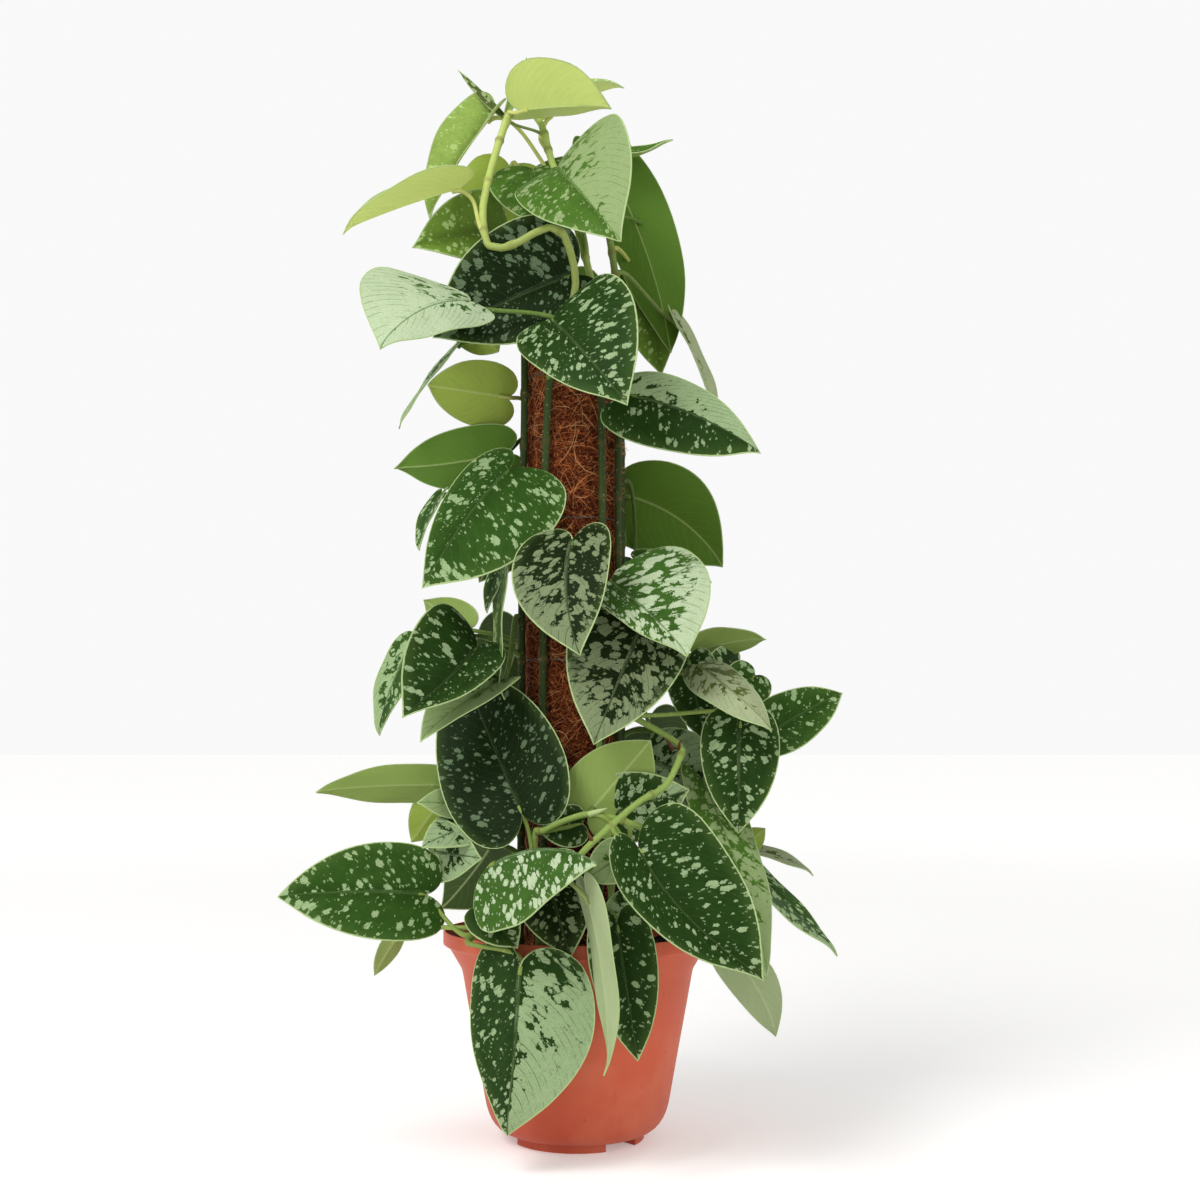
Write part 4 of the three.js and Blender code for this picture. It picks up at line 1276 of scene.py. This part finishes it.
    def stalk_colour(self, vine: Vine, leaf: Leaf) -> np.ndarray:
        """The colour of a leaf's stalk, between those of its underside and of the vine's stalks.

        Args:
            vine: The vine.
            leaf: The leaf.

        Returns:
            Its RGBA.
        """
        own = self.young_stalk if leaf.tone in (Tone.YOUNG, Tone.FRESH) else vine.habit.value[2]
        return np.array(linear(leaf.tone.value[1])) * 0.35 + np.array(linear(own)) * 0.65

    def stems(self, vine: Vine, seed: int) -> Thing:
        """The stem, the stalks of its leaves and its bits of old sheath.

        Args:
            vine: The vine.
            seed: Number that the stalks' shades are drawn from.

        Returns:
            The piece.
        """
        rng = np.random.default_rng(seed)
        bars = Bundle()
        line = self.stem_line(vine)
        self.add_stem(bars, vine, line)
        u = np.linspace(0, 1, 26)
        swell = 0.65 * np.exp(-((u / 0.16) ** 2)) + 0.25 * np.exp(-(((u - 0.93) / 0.07) ** 2))
        for leaf in vine.leaves:
            k = int(round(leaf.place * (len(line) - 1)))
            along = unit(line[min(k + 1, len(line) - 1)] - line[max(k - 1, 0)])
            stalk = evenly(Blade(leaf, 0).stalk(line[k], along), len(u))
            size = 1.0 if leaf.breadth > 0.3 else 0.7  # rolled leaves have thin stalks
            shade = rng.uniform(0.85, 1.1)
            bars.add(stalk, size * (1.55 + swell), self.stalk_colour(vine, leaf) * shade)
        taper = np.array([1, 1.05, 1, 0.95, 0.85, 0.7, 0.5, 0.3, 0.12])
        for spur in (s for s in SPURS if s.vine == vine.name):
            path = evenly(through(np.array([seen(*p) for p in spur.path])), len(taper))
            bars.add(path, spur.radius * taper, linear(spur.colour))
        obj = bars.mesh(vine.name + "_stem", 2)
        dress(obj, self.skin)
        return obj

    def build(self) -> None:
        """Makes every vine."""
        seed = 1
        for vine in VINES:
            settle(self.leaves(vine, seed), "foliage", vine.name)
            settle(self.stems(vine, seed), "foliage", vine.name)
            seed += len(vine.leaves)


@dataclass
class NurseryPot:
    """The moulded pot with its feet and drain holes."""

    sides: int = 160
    rim: float = 93.5
    wall: float = 1.6
    height: float = 141.5
    foot_outer: float = 46.0
    foot_inner: float = 35.0
    foot_height: float = 5.0
    floor_top: float = 7.0
    pad: float = 15.0
    gaps: int = 3
    gap_deg: float = 38.0
    gap_middle: float = 42.0  # distance of a gap's cutter from the axis
    gap_cutter: tuple[float, float] = (20.0, 6.2)  # its depth and height
    gap_z: float = 1.9
    first_gap: float = -48.0
    drains: int = 8
    drain: float = 4.0
    drain_ring: float = 25.0
    finish: PlasticFinish = PlasticFinish()

    def section(self) -> list[tuple[float, float]]:
        """The pot's profile, from the middle of the underside up outside and down inside.

        Returns:
            Radius and height of each ring.
        """
        low, heel, corner = (self.foot_outer, self.foot_height), (60.5, 7), (64, 28.5)
        rounded = [tuple((1 - t) ** 2 * a + 2 * t * (1 - t) * b + t * t * c
                         for a, b, c in zip(low, heel, corner)) for t in np.linspace(0, 1, 9)]
        rim, top, inner = self.rim, self.height, self.rim - self.wall
        return [
            (self.pad - 0.5, 0), (self.pad, 0.5), (self.pad, self.foot_height - 0.5),
            (self.pad + 0.5, self.foot_height), (self.foot_inner - 0.5, self.foot_height),
            (self.foot_inner, self.foot_height - 0.5), (self.foot_inner, 0.4),
            (self.foot_inner + 0.4, 0), (self.foot_outer - 0.4, 0), (self.foot_outer, 0.4),
            *rounded,
            (66.5, 42), (71, 66), (76, 92), (79.3, 110), (80, 113.5), (80.9, 116.3),
            (88.8, 129.4), (89.8, 130.8), (91.2, 131.7), (92.6, 132.1), (93.3, 132.7), (rim, 133.6),
            (rim, top - 0.8), (rim - 0.3, top - 0.2), (rim - 0.8, top), (rim - 1.2, top),
            (inner + 0.05, top - 0.3), (inner, top - 0.9),
            (inner, 133.9), (91.3, 132.9), (88.4, 131.4), (79.4, 117), (78.4, 113.9),
            (74.4, 92.3), (69.4, 66.2), (64.9, 42), (62.4, 28.5), (55.9, 13.4),
            (49.5, self.floor_top), (30, self.floor_top), (12, self.floor_top),
        ]

    def cutters(self) -> list[Thing]:
        """Makes what cuts the pot.

        Returns:
            The blocks for the gaps of the foot ring and the rods for the drains.
        """
        made = []
        depth, height = self.gap_cutter
        width = 2 * (self.gap_middle - 1) * math.sin(math.radians(self.gap_deg / 2))
        for i in range(self.gaps):
            angle = math.radians(self.first_gap + 360 / self.gaps * i)
            place = (self.gap_middle * math.cos(angle), self.gap_middle * math.sin(angle), self.gap_z)
            made.append(added(bpy.ops.mesh.primitive_cube_add, "gap", place, size=1,
                              rotation=(0, 0, angle), scale=(depth * MM, width * MM, height * MM)))
        for i in range(self.drains):
            angle = math.radians(360 / self.drains * (i + 0.5))
            place = (self.drain_ring * math.cos(angle), self.drain_ring * math.sin(angle), 6)
            made.append(added(bpy.ops.mesh.primitive_cylinder_add, "drain", place, vertices=24,
                              radius=self.drain * MM, depth=6 * MM))
        return made

    def build(self) -> None:
        """Turns the pot ring by ring, then cuts the foot gaps and the drains."""
        rings = self.section()
        pot = added(bpy.ops.mesh.primitive_circle_add, "pot_body", (0, 0, rings[0][1]),
                    vertices=self.sides, radius=rings[0][0] * MM, fill_type="NGON")
        with editing(everything=True):
            bpy.ops.mesh.flip_normals()
            bpy.ops.mesh.region_to_loop()
            grow(rings)
            bpy.ops.mesh.edge_face_add()
            bpy.ops.mesh.select_all(action="SELECT")
            bpy.ops.mesh.normals_make_consistent(inside=False)
        cutter = joined(self.cutters(), "cutters")
        modified(pot, "BOOLEAN", operation="DIFFERENCE", solver="EXACT", object=cutter)
        bpy.data.objects.remove(cutter, do_unlink=True)
        dress(pot, self.finish.make())
        smooth(pot, 40)
        settle(pot, "pot_plastic", "pot")


@dataclass
class Soil:
    """Heaped potting mix with crumbs."""

    top: float = 127.0
    crown: float = 3.0
    radius: float = 86.4
    heap_radius: float = 80.0
    wall_clear: float = 84.0  # crumbs lie inside this
    pole_clear: float = 40.0  # and outside this, from the pole's axis
    crumbs: int = 420
    finish: EarthFinish = EarthFinish("potting_soil", "150f0b", "2b1f17", "4a382a", 120, 1.0, 1.2)

    def heap(self, r: float) -> float:
        """How far the soil is heaped at a radius."""
        return self.crown * max(0.0, 1 - r / self.heap_radius)

    def bed(self, rng: np.random.Generator) -> Thing:
        """The mix, from a disc that is grown up the inside of the pot and roughened on top.

        Args:
            rng: What its roughness is drawn from.

        Returns:
            The object.
        """
        rings = [(48.6, 8.4), (61.6, 28.8), (77.6, 113.6), (self.radius - 0.4, 126.4)]
        rings += [(r, self.top + 0.4) for r in (84.5, 80, 75, 70, 65, 60, 55, 50, 45, 41)]
        bed = added(bpy.ops.mesh.primitive_cylinder_add, "soil_bed", (0, 0, 7.9), vertices=96,
                    radius=rings[0][0] * MM, depth=1 * MM, end_fill_type="NGON")
        pick("FACE", bed.data.polygons, looks_up)
        with editing():
            grow(rings)
            bpy.ops.mesh.inset(thickness=6 * MM)
        for v in bed.data.vertices:
            r = math.hypot(v.co.x, v.co.y) / MM
            if v.co.z > (self.top - 0.5) * MM and r < 85:
                swell = math.sin(v.co.x * 310) * math.cos(v.co.y * 270) + rng.normal(0, 0.5)
                v.co.z += (self.heap(r) + 0.8 * swell) * MM
        return bed

    def crumb_heap(self, rng: np.random.Generator) -> Thing:
        """Loose crumbs, each a small uneven ball.

        Args:
            rng: What their places, sizes and forms are drawn from.

        Returns:
            The object.
        """
        ball = added(bpy.ops.mesh.primitive_ico_sphere_add, "crumb", subdivisions=1, radius=1 * MM)
        base = np.array([v.co[:] for v in ball.data.vertices])
        faces = np.array([tuple(p.vertices) for p in ball.data.polygons])
        bpy.data.objects.remove(ball, do_unlink=True)
        points, polygons = [], []
        while len(points) < self.crumbs:
            r, a = self.wall_clear * math.sqrt(rng.uniform(0.2, 1)), rng.uniform(0, 2 * math.pi)
            x, y = r * math.cos(a), r * math.sin(a)
            if math.hypot(x - POLE_X, y) < self.pole_clear:
                continue
            size = rng.uniform(0.8, 2.6)
            z = self.top + self.heap(r) + 0.2 * size
            lump = base * size * rng.uniform(0.65, 1.3, 3) * (1 + rng.normal(0, 0.12, (len(base), 1)))
            polygons += (faces + len(points) * len(base)).tolist()
            points.append(lump + np.array([x, y, z]) * MM)
        mesh = bpy.data.meshes.new("crumbs")
        mesh.from_pydata(np.vstack(points).tolist(), [], polygons)
        crumbs = bpy.data.objects.new("crumbs", mesh)
        bpy.context.collection.objects.link(crumbs)
        return crumbs

    def build(self) -> None:
        """Makes the mix and its crumbs."""
        rng = np.random.default_rng(11)
        bed = self.bed(rng)
        soil = joined([bed, self.crumb_heap(rng)], "potting_mix")
        dress(soil, self.finish.make())
        settle(soil, "soil", "soil")


@dataclass
class CoirPole:
    """The core, the fibre sleeve and its wires."""

    foot: float = 12.0
    top: float = 558.0
    radius: float = 33.0
    core: float = 12.5
    soil_top: float = 112.0  # above the foot; no loose strand starts lower
    side_strands: int = 5000
    top_strands: int = 300
    mat_rows: int = 150
    springy: float = 0.14  # share of the strands that stand off the mat
    tuft_z: float = 468.0  # loose fibres spring out here on the right
    ties: tuple[tuple[str, float], ...] = (
        ("tie_low", 329.0), ("tie_middle", 428.0), ("tie_top", 531.0))
    wire_mm: float = 0.9
    wire_colour: str = "5c5b58"
    browns: tuple[str, ...] = ("8f4624", "6f361b", "a85a30", "c48048", "43200d", "d09a66")
    mat: MatFinish = MatFinish()
    bark: EarthFinish = EarthFinish("pole_end", "4a3022", "6b4a33", "8c6a4a", 150, 0.9, 0.6)
    fibre: FibreFinish = FibreFinish()
    wire: WireFinish = WireFinish()

    def build(self) -> None:
        """Makes the core, the mat, the fibres on it and the wires."""
        self.make_core()
        self.make_mat()
        self.make_fibres()
        self.make_ties()

    def make_core(self) -> None:
        """The stake, its end bevelled."""
        depth = self.top + 4 - self.foot
        core = added(bpy.ops.mesh.primitive_cylinder_add, "stake", (POLE_X, 0, self.foot + depth / 2),
                     vertices=48, radius=self.core * MM, depth=depth * MM)
        modified(core, "BEVEL", width=1.2 * MM, segments=3)
        smooth(core, 40)
        dress(core, self.bark.make())
        settle(core, "stake", "pole_core")

    def make_mat(self) -> None:
        """The matted under-layer: a tube with a rough face."""
        mat = added(bpy.ops.mesh.primitive_cylinder_add, "coir_mat",
                    (POLE_X, 0, (self.top + self.foot) / 2), vertices=120,
                    radius=(self.radius - 1.2) * MM, depth=(self.top - self.foot) * MM,
                    end_fill_type="NGON")
        heights = [v.co.z for v in mat.data.vertices]
        pick("EDGE", mat.data.edges, lambda edge: heights[edge.vertices[0]] != heights[edge.vertices[1]])
        with editing():
            bpy.ops.mesh.subdivide_edgering(number_cuts=self.mat_rows)
        pick("FACE", mat.data.polygons, looks_up)
        with editing():
            for _ in range(3):
                bpy.ops.mesh.inset(thickness=6 * MM)
        rng = np.random.default_rng(5)
        for v in mat.data.vertices:
            if v.co.z > (self.foot + 1) * MM:
                out = Vector((v.co.x - POLE_X * MM, v.co.y, 0))
                if out.length > 20 * MM:
                    v.co += out.normalized() * float(rng.normal(0, 0.45)) * MM
                if v.co.z > (self.top - 1) * MM:
                    v.co.z += float(rng.normal(-0.6, 0.5)) * MM
        dress(mat, self.mat.make())
        settle(mat, "coir", "coir_sleeve")

    def side_strand(self, rng: np.random.Generator) -> np.ndarray:
        """A strand that lies round the mat, or springs out of it at one end.

        Args:
            rng: What its place and course are drawn from.

        Returns:
            Its points, one a row.
        """
        length = rng.uniform(9, 40)
        slope = rng.uniform(-1.25, 1.25)
        a0, z0 = rng.uniform(0, 2 * math.pi), rng.uniform(self.foot + self.soil_top, self.top - 1)
        u = np.linspace(-0.5, 0.5, 5)
        angle = a0 + u * length * math.cos(slope) / self.radius
        sag = rng.normal(0, 0.16) * length * (4 * u * u - 0.33)
        angle = angle - sag * math.sin(slope) / self.radius
        z = z0 + u * length * math.sin(slope) + sag * math.cos(slope)
        r = self.radius - 1.0 + rng.uniform(-0.3, 0.9) + 0.4 * np.sin(u * 7 + rng.uniform(0, 6))
        if rng.uniform() < self.springy:
            r = r + rng.uniform(1.0, 4.5) * np.clip(u + 0.1, 0, 1) ** 1.5 * 2
        to_right = abs((a0 + 0.2 + math.pi) % (2 * math.pi) - math.pi)
        if abs(z0 - self.tuft_z) < 30 and to_right < 0.5:
            r = r + rng.uniform(0.0, 8.0) * np.clip(u + 0.2, 0, 1) ** 1.3 * 1.6
        z = np.clip(z, self.foot + 100, self.top + 1.2)
        return np.column_stack([POLE_X + r * np.cos(angle), r * np.sin(angle), z])

    def top_strand(self, rng: np.random.Generator) -> np.ndarray:
        """A strand that lies across the mat's top, round the stake's end.

        Args:
            rng: What its place and course are drawn from.

        Returns:
            Its points, one a row.
        """
        inner, outer = self.core + 1, self.radius - 1
        a0, r0 = rng.uniform(0, 2 * math.pi), rng.uniform(inner, outer - 1)
        turn = rng.uniform(0, math.pi)
        u = np.linspace(-0.5, 0.5, 6)
        length = rng.uniform(8, 22)
        x = r0 * math.cos(a0) + u * length * math.cos(turn)
        y = r0 * math.sin(a0) + u * length * math.sin(turn)
        far = np.hypot(x, y)
        scale = np.clip(far, inner, outer) / np.maximum(far, 0.1)
        z = self.top + rng.uniform(-0.4, 0.9) + 0.5 * np.sin(u * 6 + a0)
        return np.column_stack([POLE_X + x * scale, y * scale, z])

    def make_fibres(self) -> None:
        """Loose strands on the mat, some of them springing out."""
        rng = np.random.default_rng(8)
        browns = [np.array(linear(c)) for c in self.browns]
        bars = Bundle()
        for _ in range(self.side_strands):
            line = self.side_strand(rng)
            radii = rng.uniform(0.12, 0.3) * np.array([0.6, 1, 1, 0.9, 0.35])
            bars.add(line, radii, browns[rng.integers(len(browns))] * rng.uniform(0.7, 1.15))
        for _ in range(self.top_strands):
            line = self.top_strand(rng)
            radii = rng.uniform(0.18, 0.4) * np.array([0.6, 1, 1, 1, 0.9, 0.35])
            bars.add(line, radii, browns[rng.integers(len(browns))])
        fibres = bars.mesh("coir_strands", 0)
        dress(fibres, self.fibre.make())
        settle(fibres, "coir")

    def make_ties(self) -> None:
        """Binding wires, each a ring with a twisted end."""
        finish = self.wire.make()
        u = np.linspace(0, 1, 22)
        for name, height in self.ties:
            ring = added(bpy.ops.mesh.primitive_torus_add, name + "_ring", (POLE_X, 0, height),
                         major_segments=120, minor_segments=8, minor_radius=self.wire_mm / 2 * MM,
                         major_radius=(self.radius - 0.2) * MM)
            for v in ring.data.vertices:
                a = math.atan2(v.co.y, v.co.x - POLE_X * MM)
                v.co.z += 0.9 * MM * math.sin(2 * a + height) + 0.4 * MM * math.sin(5 * a)
            twist = Bundle()
            twist.add(np.column_stack([POLE_X + 32.9 + 0.9 * np.cos(u * 28), 5 + u * 9,
                                       height + 0.9 * np.sin(u * 28) + u * 2]),
                      np.full(len(u), 0.42), linear(self.wire_colour))
            tie = joined([ring, twist.mesh(name + "_twist", 1)], name + "_wire")
            dress(tie, finish)
            smooth(tie, 60)
            settle(tie, "wire", name)


@dataclass
class Studio:
    """Pale floor, soft light and the camera."""

    floor: str = "f2f1ef"
    floor_glow: float = 0.26
    far_glow: float = 0.46
    dome_low: float = 0.42  # height on the sky where it starts to darken, 0.5 at the horizon
    dome_high: float = 0.85
    horizon: float = 0.95  # brightness there
    zenith: float = 0.32
    key_watts: float = 46.0
    fill_watts: float = 7.0
    sensor_mm: float = 36.0

    def build(self) -> None:
        """Sets the stage."""
        self.lay_floor()
        self.raise_dome()
        self.softbox("key", (-1.2, -1.5, 2.2), 1.2, self.key_watts)
        self.softbox("fill", (1.7, -1.4, 1.1), 1.6, self.fill_watts)
        camera = bpy.data.objects.new("camera", bpy.data.cameras.new("camera"))
        bpy.context.collection.objects.link(camera)
        camera.location = [c * MM for c in EYE]
        camera.rotation_euler = (math.radians(90 + EYE_PITCH_DEG), 0, 0)
        camera.data.lens = LENS_MM
        camera.data.sensor_width = self.sensor_mm
        bpy.context.scene.camera = camera
        bpy.context.scene.view_settings.view_transform = "Standard"

    def lay_floor(self) -> None:
        """Lays the floor, which glows a little more far away."""
        ground = added(bpy.ops.mesh.primitive_plane_add, "floor", (0, 0, -0.2), size=60)
        n = Nodes("floor_paint")
        east, north, _ = n.parts(n.here())
        away = n.math("SQRT", n.plus(n.times(east, east), n.times(north, north)))
        rise = n.times(n.ramp(away, 0.5, 4.0), self.far_glow - self.floor_glow)
        n.put(n.shader, "Emission Color", (1.0, 1.0, 1.0, 1.0))
        n.put(n.shader, "Emission Strength", n.plus(rise, self.floor_glow))
        dress(ground, n.coat(self.floor, 0.9, 0.1))

    def raise_dome(self) -> None:
        """Puts up the world: a white dome, brighter low down."""
        world = bpy.data.worlds.new("studio")
        world.use_nodes = True
        tree = world.node_tree
        height = tree.nodes.new("ShaderNodeSeparateXYZ")
        tree.links.new(tree.nodes.new("ShaderNodeTexCoord").outputs["Generated"], height.inputs[0])
        dome = tree.nodes.new("ShaderNodeMapRange")
        dome.interpolation_type = "SMOOTHSTEP"
        for i, value in enumerate((self.dome_low, self.dome_high, self.horizon, self.zenith), 1):
            dome.inputs[i].default_value = value
        tree.links.new(height.outputs[2], dome.inputs[0])
        tree.nodes["Background"].inputs[0].default_value = (1.0, 1.0, 1.0, 1.0)
        tree.links.new(dome.outputs[0], tree.nodes["Background"].inputs[1])
        bpy.context.scene.world = world

    def softbox(self, name: str, place: Point, size: float, watts: float) -> None:
        """A square lamp that looks at the middle of the plant.

        Args:
            name: Its name.
            place: Where it hangs, in metres.
            size: Its side, in metres.
            watts: Its power.
        """
        lamp = bpy.data.lights.new(name, "AREA")
        lamp.energy = watts
        lamp.size = size
        obj = bpy.data.objects.new(name, lamp)
        bpy.context.collection.objects.link(obj)
        obj.location = place
        obj.rotation_euler = (Vector((0, 0, 0.38)) - Vector(place)).to_track_quat("-Z", "Y").to_euler()


def main() -> None:
    """Builds every piece."""
    logging.basicConfig(level=logging.INFO, format="%(name)s %(message)s")
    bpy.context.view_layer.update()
    Studio().build()
    NurseryPot().build()
    Soil().build()
    CoirPole().build()
    Foliage().build()


if __name__ == "__main__":
    main()
